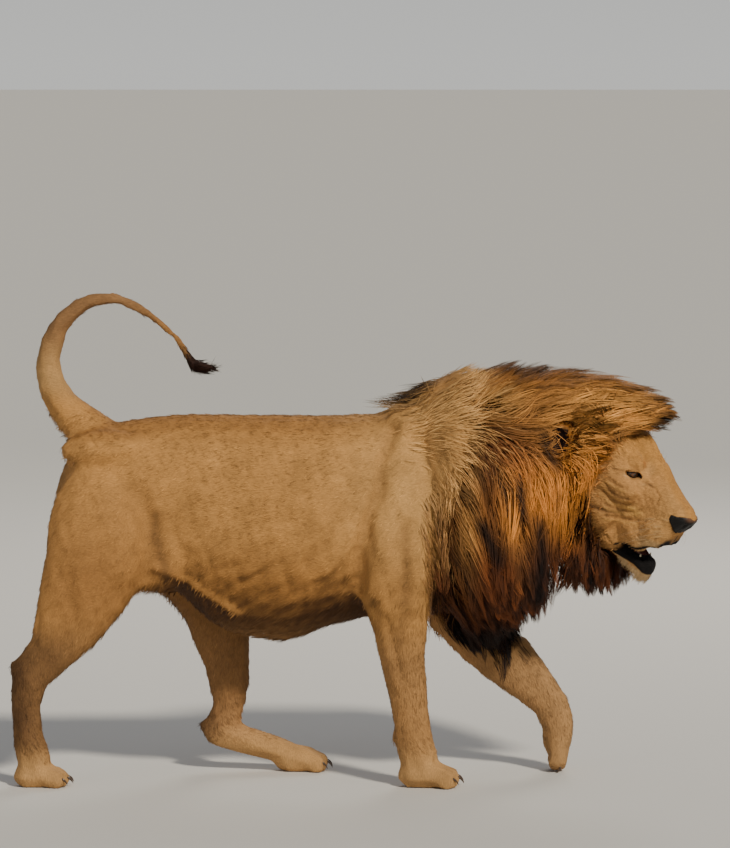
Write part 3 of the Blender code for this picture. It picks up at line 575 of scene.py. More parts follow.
def face_colour(points, lips):
    """The face's colour, the same on both sides."""
    head = on_face(points)
    x, y, z = head.T
    rows, folds = [], []
    dotted = 0.55 + 0.45 * np.sin(x / 0.0026)
    for row in WHISKER_ROWS:
        rows += [(SPOT, 0.75 * near_line(head, row, 0.0024) * dotted),
                 (CREAM, 0.25 * near_line(head, raised(row, 0.007), 0.003))]
    broken = (0.3 + 0.3 * ramp(waves(points, 0.02, 7), -0.6, 0.8)) * ramp(-y, 0.035, 0.055)
    # Painted shade in each fold, and a painted highlight on the ridge below it.
    for fold in CHEEK_FOLDS:
        folds += [(SHADE, broken * near_line(head, fold, 0.005)),
                  (CHEEK_HIGHLIGHT, 0.25 * near_line(head, raised(fold, -0.01), 0.005))]
    # Painted shade in the crease of the cheek.
    crease = near_line(head, np.array(CHEEK_CREASE)[:, ::2], 0.007) * ramp(-y, 0.04, 0.06)
    jaw = ramp(-in_jaw(head)[:, 2], 0.186, 0.196) * ramp(-z, 0.205, 0.225)
    colour = blend(
        evenly(CHEEK, len(points)),
        (FOREHEAD, ramp(z, 0.0, 0.07)),
        (MUZZLE, ramp(x, 0.06, 0.13)),
        (BRIDGE, 0.8 * ramp(x, 0.03, 0.08) * ramp(y, -0.035, -0.01)),
        (SHADE, 0.45 * near_place(head, (-0.03, -0.11, -0.07), (0.05, 0.03, 0.05))),
        (SHADE, 0.3 * near_place(head, (0.075, -0.055, -0.05), (0.05, 0.03, 0.02))),
        # A painted highlight on the swelling of the cheek.
        (CHEEK_HIGHLIGHT, 0.75 * near_place(head, (0.036, -0.074, -0.094), (0.028, 0.03, 0.013))),
        (CREAM, 0.85 * near_line(head, UNDER_EYE, 0.006)),
        (CREAM, 0.12 * near_place(head, (0.026, -0.038, 0.03), (0.016, 0.014, 0.018))),
        (BROW, 0.7 * near_line(head, BROW_MARK, 0.007)),
        (CREAM, 0.4 * ramp(x, 0.06, 0.12) * ramp(-z, 0.14, 0.16)),
        (SPOT, 0.75 * near_line(head, TEAR_LINE, 0.0042)),
        (SPOT, 0.8 * near_line(head, EYE_CORNER, 0.0034)),
        (SPOT, 0.8 * crease),
        *rows,
        *folds,
        (CHIN, jaw * ramp(x, -0.01, 0.05)),
        (SHADE, 0.5 * near_place(head, (-0.04, -0.09, -0.215), (0.035, 0.05, 0.03))),
    )
    return blend(mottled(colour, points, (0.09, 0.03, 5), (0.08, 0.01, 6)), (LIP, lips))


# ---------------------------------------------------------------- skin of the head
FACE_DEPTH = 0.003              # of the skin below the head's solids
LID_BALL = 0.0012               # how much wider than the eyeball the skin is about it
SWELLINGS = (                   # place, spread, height
    ((-0.02, -0.046, 0.034), (0.028, 0.022, 0.01), 0.003),
    ((-0.005, -0.04, 0.05), (0.022, 0.016, 0.014), -0.005),
    ((-0.006, -0.06, 0.024), (0.02, 0.018, 0.007), 0.0025),
    ((0.01, -0.085, -0.04), (0.035, 0.03, 0.016), 0.0035),
    ((0.125, -0.06, -0.118), (0.038, 0.03, 0.028), 0.005),
    ((0.036, -0.074, -0.094), (0.026, 0.03, 0.012), 0.003),
    ((0.05, -0.07, -0.15), (0.04, 0.03, 0.022), 0.0035),
    ((-0.03, 0.0, 0.08), (0.05, 0.006, 0.04), -0.003),
    ((0.015, -0.01, 0.062), (0.06, 0.03, 0.034), 0.004),
    ((0.07, -0.05, -0.045), (0.03, 0.02, 0.016), -0.003),
    ((0.15, -0.036, -0.052), (0.018, 0.012, 0.014), 0.003),
)
WHISKER_LINES = ((0.0, 0.003, -0.0022), (0.007, 0.004, 0.001))   # over the rows, width, height
FOLD_LINES = ((0.0, 0.0052, -0.0024), (-0.01, 0.0065, 0.0012))     # over the cheek's folds
FACE_LINES = (                  # line, width, height (in is negative)
    (TEAR_LINE, 0.0048, -0.0032),
    (CHEEK_CREASE, 0.007, -0.004),
    (MOUTH_CORNER, 0.006, -0.0045),
    (UPPER_LIP, 0.006, 0.0024),
)
# Along the middle of the forehead and the nose, as x and z.
PROFILE = ((-0.07, 0.116), (-0.014, 0.089), (0.032, 0.062), (0.053, 0.045), (0.084, 0.019),
           (0.13, -0.011), (0.19, -0.056))
PROFILE_CURVE = 9.0             # how fast the forehead falls off to its sides


def ball_of(centre, radius):
    shape = bmesh.new()
    bmesh.ops.create_icosphere(shape, subdivisions=3, radius=radius, matrix=Matrix.Translation(centre))
    points = np.array([vert.co for vert in shape.verts])
    faces = np.array([[vert.index for vert in face.verts] for face in shape.faces])
    shape.free()
    return points, faces


def combined(parts):
    """Several (points, faces) as one."""
    starts = np.cumsum([0] + [len(points) for points, _ in parts[:-1]])
    return (np.vstack([points for points, _ in parts]),
            np.vstack([faces + start for (_, faces), start in zip(parts, starts)]))


def eye_centre(side):
    """Where an eye is; side is -1 for the right one and 1 for the left."""
    return HEAD_AT + HEAD_TURN @ Vector((-EYE_BEHIND, side * EYE_APART, 0))


def lifted(points, part):
    """Points of the jaw turned up about its hinge by the lift, as far as part says."""
    head = in_head(points) - JAW_HINGE
    turn = np.array(Matrix.Rotation(-JAW_LIFT, 3, "Y"))
    head = head + (head @ turn.T - head) * part[:, None]
    return from_head(head + JAW_HINGE)


def build_head_skin():
    """The face and jaw as one skin, where it is lip, and where it is jaw."""
    balls = [ball_of(eye_centre(side), EYE_RADIUS + LID_BALL) for side in (-1, 1)]
    solids = joined(["head", "lower_jaw", "nose_pad"], grow=0.0007)
    mesh = fused(*combined([solids, *balls]), HEAD_VOXEL)
    points, edges = points_of(mesh), edges_of(mesh)
    points = relax(points, edges, 1 - 0.5 * near_line(on_face(points), UPPER_LIP, 0.02), HEAD_ROUNDS)
    put_points(mesh, points)
    normals = normals_of(mesh)
    jaw, skull = (nearness(points, [node], 0.01) for node in ("lower_jaw", "head"))
    part = ramp(jaw - skull, -0.3, 0.3)
    for _ in range(6):
        part = 0.5 * part + 0.5 * around(part, edges)
    lips = lip_weight(points, part)
    head = on_face(points)
    rise = np.full(len(points), -FACE_DEPTH)
    for place, spread, height in SWELLINGS:
        rise += height * near_place(head, place, spread)
    for lines, details, where in ((WHISKER_ROWS, WHISKER_LINES, 1),
                                  (CHEEK_FOLDS, FOLD_LINES, ramp(-head[:, 1], 0.035, 0.055))):
        for line in lines:
            for over, width, height in details:
                rise += height * near_line(head, raised(line, over), width) * where
    for line, width, height in FACE_LINES:
        rise += height * near_line(head, line, width)
    rise += 0.0018 * lips * part
    rise += 0.0008 * waves(points, 0.014, 11)
    points = lifted(points + normals * rise[:, None], part)
    points = from_head(shaped(in_head(points), normals, part))
    put_points(mesh, points)
    return mesh, lips, part


def shaped(head, normals, part):
    """The head with the muzzle's front drawn back, the flews lowered and the forehead at its profile."""
    slope = ramp(-head[:, 2], 0.052, 0.112)
    head[:, 0] -= 0.024 * slope * ramp(head[:, 0], 0.06, 0.17)
    head[:, 1] *= 1 - 0.1 * slope * ramp(head[:, 0], 0.1, 0.17)
    corner = near_place(both_sides(head), (0.022, -0.066, -0.196), (0.04, 0.03, 0.026))
    flews = ramp(head[:, 0], 0.035, 0.095) * ramp(-head[:, 2], 0.112, 0.14)
    head[:, 2] -= (0.01 * corner + 0.014 * flews) * (1 - part)
    wanted = height_on(PROFILE, head[:, 0]) - PROFILE_CURVE * head[:, 1] ** 2
    upper = ramp(normals @ TURN[:, 2], 0.15, 0.45) * (1 - ramp(np.abs(head[:, 1]), 0.02, 0.044))
    upper *= (1 - part) * ramp(head[:, 0], -0.07, -0.04)
    short = np.maximum(wanted - head[:, 2], 0)
    head[:, 2] += short * upper * ramp(-short, -0.04, -0.026)
    return head


def eye_frame(side):
    """An eye's centre, and its directions out, to the outer corner and up."""
    out = HEAD_TURN @ Vector((math.cos(EYE_OUTWARD), side * math.sin(EYE_OUTWARD), 0))
    up = HEAD_TURN @ Vector((0, 0, 1))
    across = out.cross(up) * -side
    return eye_centre(side), out, across, up


LID_SIDES = 64
LID_WIDTH, LID_ABOVE, LID_BELOW = 0.017, 0.0052, 0.0058     # half sizes of the opening between the lids
LID_TILT, CORNER_PULL = 0.08, 0.001    # how the opening slants down outward, and its inner corner's point
LID_MERGE = 0.004                       # how softly the lid passes from the eyeball to the face
LID_RIM, CORNER_RIM, RIM_FADE = 0.0036, 0.003, 0.0026      # the dark rim, its growth at the corners
LID_RINGS = (           # how far beyond the opening's edge, height over the eyeball, height over the skin
    (-0.0006, -0.0012, 0.0), (0.0, 0.0008, 0.0), (0.0008, 0.0018, 0.0), (0.002, 0.0021, 0.0004),
    (0.0034, 0.0018, 0.0008), (0.005, 0.0012, 0.001), (0.0068, 0.001, 0.0014), (0.0088, 0.0009, 0.0014),
    (0.011, 0.0008, 0.001), (0.0136, 0.0006, 0.0002), (0.0165, 0.0004, -0.0016),
)


def lid_edge(angle):
    """The lids' edge at an angle from the outer corner, as places across and above the eye's axis."""
    across, above = math.cos(angle), math.sin(angle)
    high = LID_ABOVE if above > 0 else LID_BELOW
    corner = CORNER_PULL * max(-across, 0.0) ** 6
    return Vector((LID_WIDTH * across - corner,
                   high * math.copysign(abs(above) ** 1.25, above) - LID_TILT * across * LID_WIDTH))


def build_lids(side, skin):
    """A ring of lid about one eye, from its dark rim on the eyeball to where it sinks in the face."""
    centre, out, across, up = eye_frame(side)
    points, dark = [], []
    for beyond, on_eye, on_skin in LID_RINGS:
        for corner in range(LID_SIDES):
            angle = 2 * math.pi * corner / LID_SIDES
            edge = lid_edge(angle)
            spot = edge + edge.normalized() * beyond
            start = centre + across * spot.x + up * spot.y
            ball = math.sqrt(max(EYE_RADIUS ** 2 - spot.length_squared, 1e-9)) + on_eye
            hit = skin.ray_cast(start + out * 0.08, -out)[0]
            face = (hit - start).dot(out) + on_skin if hit is not None else ball
            high = LID_MERGE * math.log(math.exp(ball / LID_MERGE) + math.exp(face / LID_MERGE))
            high -= LID_MERGE * math.log(2) * 0.6
            rim = (beyond - LID_RIM - CORNER_RIM * abs(math.cos(angle)) ** 4) / RIM_FADE
            points.append(start + out * max(high, ball))
            dark.append(1 - min(max(rim, 0.0), 1.0))
    return np.array(points), banded(len(LID_RINGS), LID_SIDES, side < 0), np.array(dark)


def banded(rings, sides, turned=False):
    """The triangles between rings of points, which all have as many sides; turned faces the other way."""
    faces = []
    for ring in range(rings - 1):
        low, high = ring * sides, (ring + 1) * sides
        if turned:
            low, high = high, low
        for corner in range(sides):
            after = (corner + 1) % sides
            faces += [(low + corner, low + after, high + after), (low + corner, high + after, high + corner)]
    return np.array(faces)


# ---------------------------------------------------------------- eyes, nose and mouth
GAZE_OUTWARD = math.radians(26)         # the pupil looks further ahead than the lids face
GAZE_DOWN = 0.05
IRIS_RADIUS, PUPIL_RADIUS = 0.0128, 0.005
CORNEA_RISE = 0.0013                    # of the cornea over the eyeball
# The white of the eye is painted dark brown, as the shade of the lids.
SHADED_WHITE, IRIS_RIM, IRIS, IRIS_LIT = lit(44, 26, 18), lit(24, 12, 6), lit(88, 50, 20), lit(120, 74, 30)
PUPIL = (0.002, 0.002, 0.002)


def build_eye(side, material):
    """An eyeball with a raised cornea; the iris and pupil are painted round its axis of sight."""
    centre = eye_centre(side)
    gaze = Vector((math.cos(GAZE_OUTWARD), side * math.sin(GAZE_OUTWARD), -GAZE_DOWN))
    gaze = HEAD_TURN @ gaze.normalized()
    shape = bmesh.new()
    bmesh.ops.create_uvsphere(shape, u_segments=48, v_segments=40, radius=1)
    turn = gaze.to_track_quat("Z", "Y").to_matrix()
    points = np.array([turn @ vert.co for vert in shape.verts])
    mesh = bpy.data.meshes.new("eye")
    shape.to_mesh(mesh)
    shape.free()
    off_axis = np.arccos(np.clip(points @ np.array(gaze), -1, 1))
    radius = EYE_RADIUS + CORNEA_RISE * ramp(-off_axis, -0.62, -0.3)
    put_points(mesh, np.array(centre) + points * radius[:, None])
    mesh.polygons.foreach_set("use_smooth", np.ones(len(mesh.polygons), bool))
    from_axis = EYE_RADIUS * np.sin(off_axis) + (off_axis > 1.5)
    paint(mesh, "Tint", blend(
        # The white, painted dark as the lids' shade.
        evenly(SHADED_WHITE, len(points)),
        (IRIS_RIM, 1 - ramp(from_axis, IRIS_RADIUS, IRIS_RADIUS + 0.0012)),
        (IRIS, 1 - ramp(from_axis, IRIS_RADIUS - 0.002, IRIS_RADIUS - 0.0006)),
        (IRIS_LIT, 0.6 * (1 - ramp(from_axis, PUPIL_RADIUS, PUPIL_RADIUS + 0.004))),
        (PUPIL, 1 - ramp(from_axis, PUPIL_RADIUS - 0.0005, PUPIL_RADIUS + 0.0005)),
    ))
    name = "eye_right" if side < 0 else "eye_left"
    piece_of(name + "_ball", mesh, material, [name])


NOSTRIL, NOSTRIL_SPREAD, NOSTRIL_DEPTH = (0.17, -0.024, -0.074), (0.02, 0.006, 0.006), 0.007
NOSTRIL_SLIT = ((0.17, -0.025, -0.076), (0.16, -0.036, -0.076), (0.152, -0.044, -0.07))
NOSE_LINES = ((0.0, 0.003, -0.004), (0.009, 0.005, 0.0024))      # over the slit, width, height
NOSE_THICK, NOSE_SUNK, NOSE_RISE = 0.006, 0.0012, 0.0026    # of the leather, its edge and its middle
NOSE_GROOVE, NOSE_GRAIN = 0.0022, 0.00025


def build_nose(skin_points, skin_normals, skin_faces, material):
    """The leather of the nose, a thin shell that lies on the face's skin and sinks into it at its edge."""
    head = on_face(skin_points)
    depth = leather_depth(head)
    inside = (depth > 0)[skin_faces].all(axis=1)
    used, faces = np.unique(skin_faces[inside], return_inverse=True)
    faces = faces.reshape(-1, 3)
    points, normals, head, depth = skin_points[used], skin_normals[used], head[used], depth[used]
    rise = -NOSE_SUNK + NOSE_RISE * ramp(depth, 0.0, 0.005)
    rise -= NOSTRIL_DEPTH * near_place(head, NOSTRIL, NOSTRIL_SPREAD)
    for over, width, height in NOSE_LINES:
        rise += height * near_line(head, raised(NOSTRIL_SLIT, over), width)
    rise -= NOSE_GROOVE * np.exp(-(head[:, 1] / 0.0018) ** 2) * ramp(-head[:, 2], 0.066, 0.08)
    rise += NOSE_GRAIN * waves(points, 0.0035, 21)
    front = points + normals * rise[:, None]
    back = points - normals * NOSE_THICK
    sides = np.vstack([faces[:, [0, 1]], faces[:, [1, 2]], faces[:, [2, 0]]])
    known = set(map(tuple, sides.tolist()))
    rim = np.array([(a, b) for a, b in sides.tolist() if (b, a) not in known])
    far = len(points)
    walls = np.vstack([np.stack([rim[:, 1], rim[:, 0], rim[:, 0] + far], axis=1),
                       np.stack([rim[:, 1], rim[:, 0] + far, rim[:, 1] + far], axis=1)])
    mesh = mesh_of("nose", np.vstack([front, back]), np.vstack([faces, faces[:, ::-1] + far, walls]))
    top = ramp(head[:, 2], -0.066, -0.05) * ramp(-np.abs(head[:, 1]), -0.036, -0.02)
    colour = blend(evenly(LEATHER, len(points)), (LEATHER_TOP, 0.8 * top))
    paint(mesh, "Tint", np.vstack([colour, colour]))
    piece_of("nose_skin", mesh, material, ["nose_pad"])


# Of these, the tongue's is its own red darkened as painted shade inside the mouth.
SHADED_TONGUE, TOOTH, CLAW, WHISKER = lit(70, 32, 28), lit(196, 178, 142), lit(70, 54, 42), lit(160, 132, 96)


def build_tongue(material):
    """The tongue, with its furrow, on the lowered jaw."""
    mesh = smooth_mesh(["tongue"], TONGUE_VOXEL, TONGUE_ROUNDS)
    points, normals = points_of(mesh), normals_of(mesh)
    furrow = np.exp(-(in_head(points)[:, 1] / 0.004) ** 2) * (normals @ TURN[:, 2] > 0.3)
    rise = -0.0015 - 0.0035 * furrow + 0.0006 * waves(points, 0.006, 22)
    put_points(mesh, lifted(points + normals * rise[:, None], np.ones(len(points))))
    # The tongue's own red, darkened as painted shade of the mouth.
    paint(mesh, "Tint", evenly(SHADED_TONGUE, len(points)))
    piece_of("tongue_flesh", mesh, material, ["tongue"])


TOOTH_SIDES, TOOTH_RINGS = 14, 9
TEETH = (               # in the lower jaw or not, root, tip, radius, curve back
    (False, (0.118, -0.024, -0.146), (0.115, -0.024, -0.174), 0.0066, 0.002),
    (True, (0.112, -0.024, -0.182), (0.11, -0.026, -0.156), 0.0066, 0.002),
    (False, (0.132, -0.004, -0.146), (0.132, -0.004, -0.158), 0.0034, 0.0),
    (False, (0.13, -0.011, -0.146), (0.13, -0.011, -0.159), 0.0036, 0.0),
    (False, (0.126, -0.0175, -0.146), (0.126, -0.0175, -0.16), 0.0038, 0.0),
    (True, (0.126, -0.004, -0.18), (0.127, -0.004, -0.17), 0.0028, 0.0),
    (True, (0.125, -0.01, -0.18), (0.126, -0.01, -0.17), 0.003, 0.0),
    (True, (0.122, -0.0155, -0.18), (0.123, -0.0155, -0.169), 0.0032, 0.0),
    (True, (0.09, -0.027, -0.186), (0.088, -0.027, -0.17), 0.008, 0.0),
    (True, (0.07, -0.027, -0.186), (0.068, -0.027, -0.168), 0.0085, 0.0),
    (False, (0.092, -0.033, -0.156), (0.09, -0.032, -0.166), 0.0085, 0.0),
    (False, (0.068, -0.034, -0.158), (0.066, -0.033, -0.168), 0.009, 0.0),
)


def tooth(root, tip, radius, bend):
    """A pointed tooth from root to tip, curved back by bend, in the head's frame."""
    axis = unit(tip - root)
    side = unit(np.cross(axis, (1, 0, 0)))
    front = np.cross(side, axis)
    points = []
    for share in np.linspace(0, 1, TOOTH_RINGS):
        wide = radius * (1 - share ** 1.6) ** 0.8 + 0.0002
        middle = root + (tip - root) * share + front * (bend * share * (1 - share) * 4)
        for corner in range(TOOTH_SIDES):
            angle = 2 * math.pi * corner / TOOTH_SIDES
            points.append(middle + side * (0.8 * wide * math.cos(angle)) + front * (wide * math.sin(angle)))
    high = (TOOTH_RINGS - 1) * TOOTH_SIDES
    ends = [face for corner in range(1, TOOTH_SIDES - 1)
            for face in ((0, corner, corner + 1), (high, high + corner + 1, high + corner))]
    return np.array(points), np.vstack([banded(TOOTH_RINGS, TOOTH_SIDES)[:, [0, 2, 1]], ends])


def hard_piece(name, parts, colour, material, replaces=()):
    """Teeth or claws as one piece of one colour."""
    mesh = mesh_of(name, *combined(parts))
    paint(mesh, "Tint", evenly(colour, len(mesh.vertices)))
    piece_of(name, mesh, material, replaces)


def build_teeth(material):
    """Canines, incisors and side teeth, most of them behind the lips."""
    parts = []
    for side in (1, -1):
        for lower, root, tip, radius, bend in TEETH:
            ends = np.array((root, tip)) * (1, side, 1)
            ends = in_head(lifted(from_head(on_jaw(ends)), np.ones(2))) if lower else ends
            points, faces = tooth(*ends, radius, bend)
            parts.append((from_head(points), faces))
    canines = [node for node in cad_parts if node.startswith("canine")]
    hard_piece("teeth", parts, TOOTH, material, canines)


CLAW_ENDS = (0.86, 0.44), (0.97, 0.22)          # ahead and up, as shares of the paw
CLAW_RADIUS, CLAW_BEND = 0.0036, 0.0035


def build_claws(material):
    """The tips of the claws, which show between the hairs of each toe."""
    parts = []
    for paw in PAWS:
        for across, lead in TOES:
            ends = [in_paw(paw, ahead + lead, across * TOE_WIDTH, up) for ahead, up in CLAW_ENDS]
            points, faces = tooth(*ends, CLAW_RADIUS, CLAW_BEND)
            points[:, 2] = np.maximum(points[:, 2], 2 * FLOOR_GAP)
            parts.append((from_body(points), faces))
    hard_piece("claws", parts, CLAW, material)


EAR_FRONT = (0.47, -0.88, 0.0)          # which way the hollow of the right ear faces, in the head's frame


def build_ears(material):
    """The two ears: rounded cups that stand in the mane, with painted shade inside."""
    mesh = smooth_mesh(EAR_NODES, EAR_VOXEL, EAR_ROUNDS)
    points = points_of(mesh)
    head = in_head(points)
    facing = (normals_of(mesh) @ TURN) * np.where(head[:, 1:2] > 0, (1, -1, 1), 1)
    hollow = ramp(facing @ np.array(EAR_FRONT), -0.1, 0.5)
    hollow *= 1 - ramp(np.abs(head[:, 2] - 0.022), 0.036, 0.05)
    # The hollow of each ear is painted dark, as painted shade.
    paint(mesh, "Tint", blend(evenly(CHEEK, len(points)), (EAR_HOLLOW_SHADE, hollow)))
    paint(mesh, "Down", np.zeros(len(points)))
    piece_of("skin_ears", mesh, material, EAR_NODES)
    return mesh


# ---------------------------------------------------------------- hair tools
class Field:
    """How far points are outside a surface, and which way is out, read from a grid of samples."""

    def __init__(self, surface, low, high, step):
        self.low, self.step = np.array(low, float), step
        counts = np.ceil((np.array(high) - self.low) / step).astype(int) + 1
        gaps = np.empty(counts)
        for cell in np.ndindex(*counts):
            place = Vector(self.low + np.array(cell) * step)
            found, normal, _, gap = surface.find_nearest(place)
            gaps[cell] = math.copysign(gap, (place - found).dot(normal))
        slopes = np.stack(np.gradient(gaps, step), axis=-1)
        self.values = np.concatenate([gaps[..., None], slopes], axis=-1)

    def read(self, points):
        """Distances and outward directions at the points."""
        spot = (points - self.low) / self.step
        last = np.array(self.values.shape[:3]) - 2
        cell = np.clip(np.floor(spot).astype(int), 0, last)
        share = np.clip(spot - cell, 0, 1)
        total = np.zeros((len(points), 4))
        for corner in np.ndindex(2, 2, 2):
            weight = np.prod(np.where(corner, share, 1 - share), axis=1)
            total += weight[:, None] * self.values[tuple((cell + corner).T)]
        return total[:, 0], unit(total[:, 1:])


class Unwrap:
    """Where points lie on a flat unwrap of the skin."""

    def __init__(self, points, faces):
        work = placed("unwrap", mesh_of("unwrap", points, faces))
        bpy.context.view_layer.objects.active = work
        work.select_set(True)
        bpy.ops.object.mode_set(mode="EDIT")
        bpy.ops.mesh.select_all(action="SELECT")
        bpy.ops.uv.smart_project(angle_limit=math.radians(60), island_margin=0.004)
        bpy.ops.object.mode_set(mode="OBJECT")
        self.places = listed(work.data.uv_layers[0].data, "uv", 2).reshape(-1, 3, 2)
        self.points, self.faces = points, faces
        self.surface = BVHTree.FromPolygons(points.tolist(), faces.tolist())
        bpy.data.objects.remove(work)

    def at(self, roots):
        made = np.empty((len(roots), 2))
        for number, root in enumerate(roots):
            found, _, face, _ = self.surface.find_nearest(Vector(root))
            a, b, c = self.points[self.faces[face]]
            made[number] = self.shares(np.array(found), a, b, c) @ self.places[face]
        return made

    @staticmethod
    def shares(point, a, b, c):
        """The point's weights towards a triangle's corners."""
        ab, ac, ap = b - a, c - a, point - a
        whole = np.linalg.norm(np.cross(ab, ac)) + 1e-15
        second = np.linalg.norm(np.cross(ap, ac)) / whole
        third = np.linalg.norm(np.cross(ab, ap)) / whole
        return np.array([1 - second - third, second, third])


class Ground:
    """A surface that hair grows on."""

    def __init__(self, mesh):
        self.points, self.normals, self.faces = points_of(mesh), normals_of(mesh), triangles_of(mesh)

    def scatter(self, weight, count, draw):
        """Random places on it, as many on each face as its area and weight ask, and their faces."""
        a, b, c = (self.points[self.faces[:, corner]] for corner in range(3))
        share = np.linalg.norm(np.cross(b - a, c - a), axis=1) * weight[self.faces].mean(axis=1)
        chosen = draw.choice(len(self.faces), count, p=share / share.sum())
        first, second = draw.random((2, count))
        over = first + second > 1
        first[over], second[over] = 1 - first[over], 1 - second[over]
        return a[chosen] + (b - a)[chosen] * first[:, None] + (c - a)[chosen] * second[:, None], chosen

    def roots(self, weight, count, draw):
        """Such places, and which way is out at each."""
        places, chosen = self.scatter(weight, count, draw)
        return places, unit(self.normals[self.faces[chosen]].mean(axis=1))


PATCH = 0.003           # how wide each tuft's patch is on the coat's unwrap
ROUND = 0.35            # how far the light on a tuft turns towards its sides
CORNERS = math.pi / 6, math.pi * 5 / 6, math.pi * 3 / 2      # of its section, with a flat side outward


def spikes(paths, widths, outward, colours, flat, places, own=0.35):
    """Closed three-sided tapering tufts, one along each path: points, faces, colours and their unwrap.

    paths is tufts x rings x 3, widths is tufts x rings with the last ring's width unused, flat is the
    thickness over the width, and own is how far the light on a tuft is that on the surface it lies on.
    """
    tufts, rings = paths.shape[:2]
    ahead = unit(np.gradient(paths, axis=1))
    across = unit(np.cross(ahead, outward[:, None, :]))
    above = np.cross(across, ahead)
    corners = []
    for angle in CORNERS:
        aside = across * math.cos(angle) + above * math.sin(angle) * flat
        corners.append(paths + aside * widths[..., None])
    body = np.stack(corners, axis=2)[:, :-1].reshape(tufts, -1, 3)
    points = np.concatenate([body, paths[:, -1:]], axis=1)
    each = points.shape[1]
    faces = [(0, 1, 2)]
    for ring in range(rings - 2):
        for corner in range(3):
            low, next_low = 3 * ring + corner, 3 * ring + (corner + 1) % 3
            faces += [(low, next_low + 3, next_low), (low, low + 3, next_low + 3)]
    for corner in range(3):
        faces.append((3 * (rings - 2) + (corner + 1) % 3, 3 * (rings - 2) + corner, each - 1))
    faces = np.array(faces)[None] + (np.arange(tufts) * each)[:, None, None]
    tint = np.concatenate([np.repeat(colours[:, :-1], 3, axis=1), colours[:, -1:]], axis=1)
    along = np.append(np.repeat(np.linspace(0, 1, rings)[:-1], 3), 1.0)
    aside = np.append(np.tile((0.0, 0.5, 1.0), rings - 1), 0.5)
    spread = np.stack([aside, along], axis=1) - 0.5
    unwrap = places[:, None, :] + PATCH * spread[None]
    normal = unit(above * (1 - own) + outward[:, None, :] * own)
    facing = np.stack([unit(normal + ROUND * across), unit(normal - ROUND * across), normal], axis=2)
    facing = np.concatenate([facing[:, :-1].reshape(tufts, -1, 3), normal[:, -1:]], axis=1)
    return tuple(part.reshape(-1, part.shape[-1]) for part in (points, faces, tint, unwrap, facing))


MOST_FACES = 190000     # of one coat piece
ROOT_SUNK = 0.0015      # of a tuft below the surface


def coat_pieces(name, parts, material, replaces=()):
    """Sets of tufts as coat pieces, each of at most MOST_FACES faces."""
    starts = np.cumsum([0] + [len(part[0]) for part in parts[:-1]])
    points, faces, tint, unwrap, facing = zip(*parts)
    faces = np.vstack([part + start for part, start in zip(faces, starts)])
    points, tint, unwrap, facing = (np.vstack(part) for part in (points, tint, unwrap, facing))
    points[:, 2] = np.maximum(points[:, 2], FLOOR_GAP)
    count = math.ceil(len(faces) / MOST_FACES)
    for number in range(count):
        start, end = (number * len(faces)) // count, ((number + 1) * len(faces)) // count
        used, mine = np.unique(faces[start:end], return_inverse=True)
        mine = mine.reshape(-1, 3)
        mesh = mesh_of(name, points[used], mine)
        paint(mesh, "Tint", tint[used])
        layer = mesh.uv_layers.new(name="OFBake")
        layer.data.foreach_set("uv", unwrap[used][mine].astype(np.float32).ravel())
        mesh.normals_split_custom_set_from_vertices(facing[used].astype(np.float32))
        piece_of(f"{name}_{number + 1}", mesh, material, replaces)


def flattened(headings, outs):
    """Directions turned so that they lie along the surface."""
    return unit(headings - outs * (headings * outs).sum(axis=1)[:, None])


def laid(roots, outs, headings, lengths, lifts, rings, draw, bow=0.0):
    """Paths of tufts that lie along a surface: the root is sunk in it, the tip stands a little off it."""
    share = np.linspace(0, 1, rings)
    headings = flattened(headings, outs)
    side = np.cross(outs, headings)
    rise = lifts[:, None] * share ** 0.8 - ROOT_SUNK * (1 - share)
    sway = bow * lengths[:, None] * draw.normal(size=(len(roots), 1)) * share ** 2
    return (roots[:, None] + headings[:, None] * (lengths[:, None] * share)[..., None]
            + outs[:, None] * rise[..., None] + side[:, None] * sway[..., None])


def tapered(widths, rings, blunt=0.75):
    """Half widths along each tuft, widest a third of the way and 0 at the tip."""
    share = np.linspace(0, 1, rings)
    profile = np.sin(math.pi * (0.12 + 0.88 * share) ** blunt) ** 0.7
    profile[-1] = 0
    return 0.5 * widths[:, None] * (profile / profile.max())[None]


def shaded(root, tip, rings, power=1.0):
    """Colours along each tuft, from its root's to its tip's."""
    share = np.linspace(0, 1, rings)[None, :, None] ** power
    return root[:, None] * (1 - share) + tip[:, None] * share


Kind = namedtuple("Kind", "count rings width flat own spread bow tone")
# How many tufts, their rings, width, thickness over width, how far the light on them is that on the
# surface, how unevenly they point, how far they curve aside, and how unevenly they are coloured.
BODY_FUR = Kind(38000, 3, 0.0027, 0.35, 1.0, 0.16, 0.0, 0.13)
FACE_FUR = Kind(16000, 3, 0.0, 0.35, 1.0, 0.14, 0.0, 0.13)
SHOULDER_HAIR = Kind(3000, 6, 0.0024, 0.5, 0.35, 0.13, 0.08, 0.2)
CHEEK_HAIR = Kind(3800, 6, 0.0025, 0.5, 0.35, 0.16, 0.1, 0.22)
CHIN_HAIR = Kind(1200, 5, 0.0011, 0.6, 1.0, 0.22, 0.1, 0.12)
EAR_HAIR = Kind(700, 5, 0.0017, 0.6, 0.35, 0.1, 0.12, 0.3)
TAIL_HAIR = Kind(700, 5, 0.002, 0.6, 0.35, 0.1, 0.1, 0.25)


def ruffled(heading, kind, draw):
    """Directions made as uneven as the kind of hair is."""
    return unit(heading + kind.spread * draw.normal(size=(kind.count, 3)))


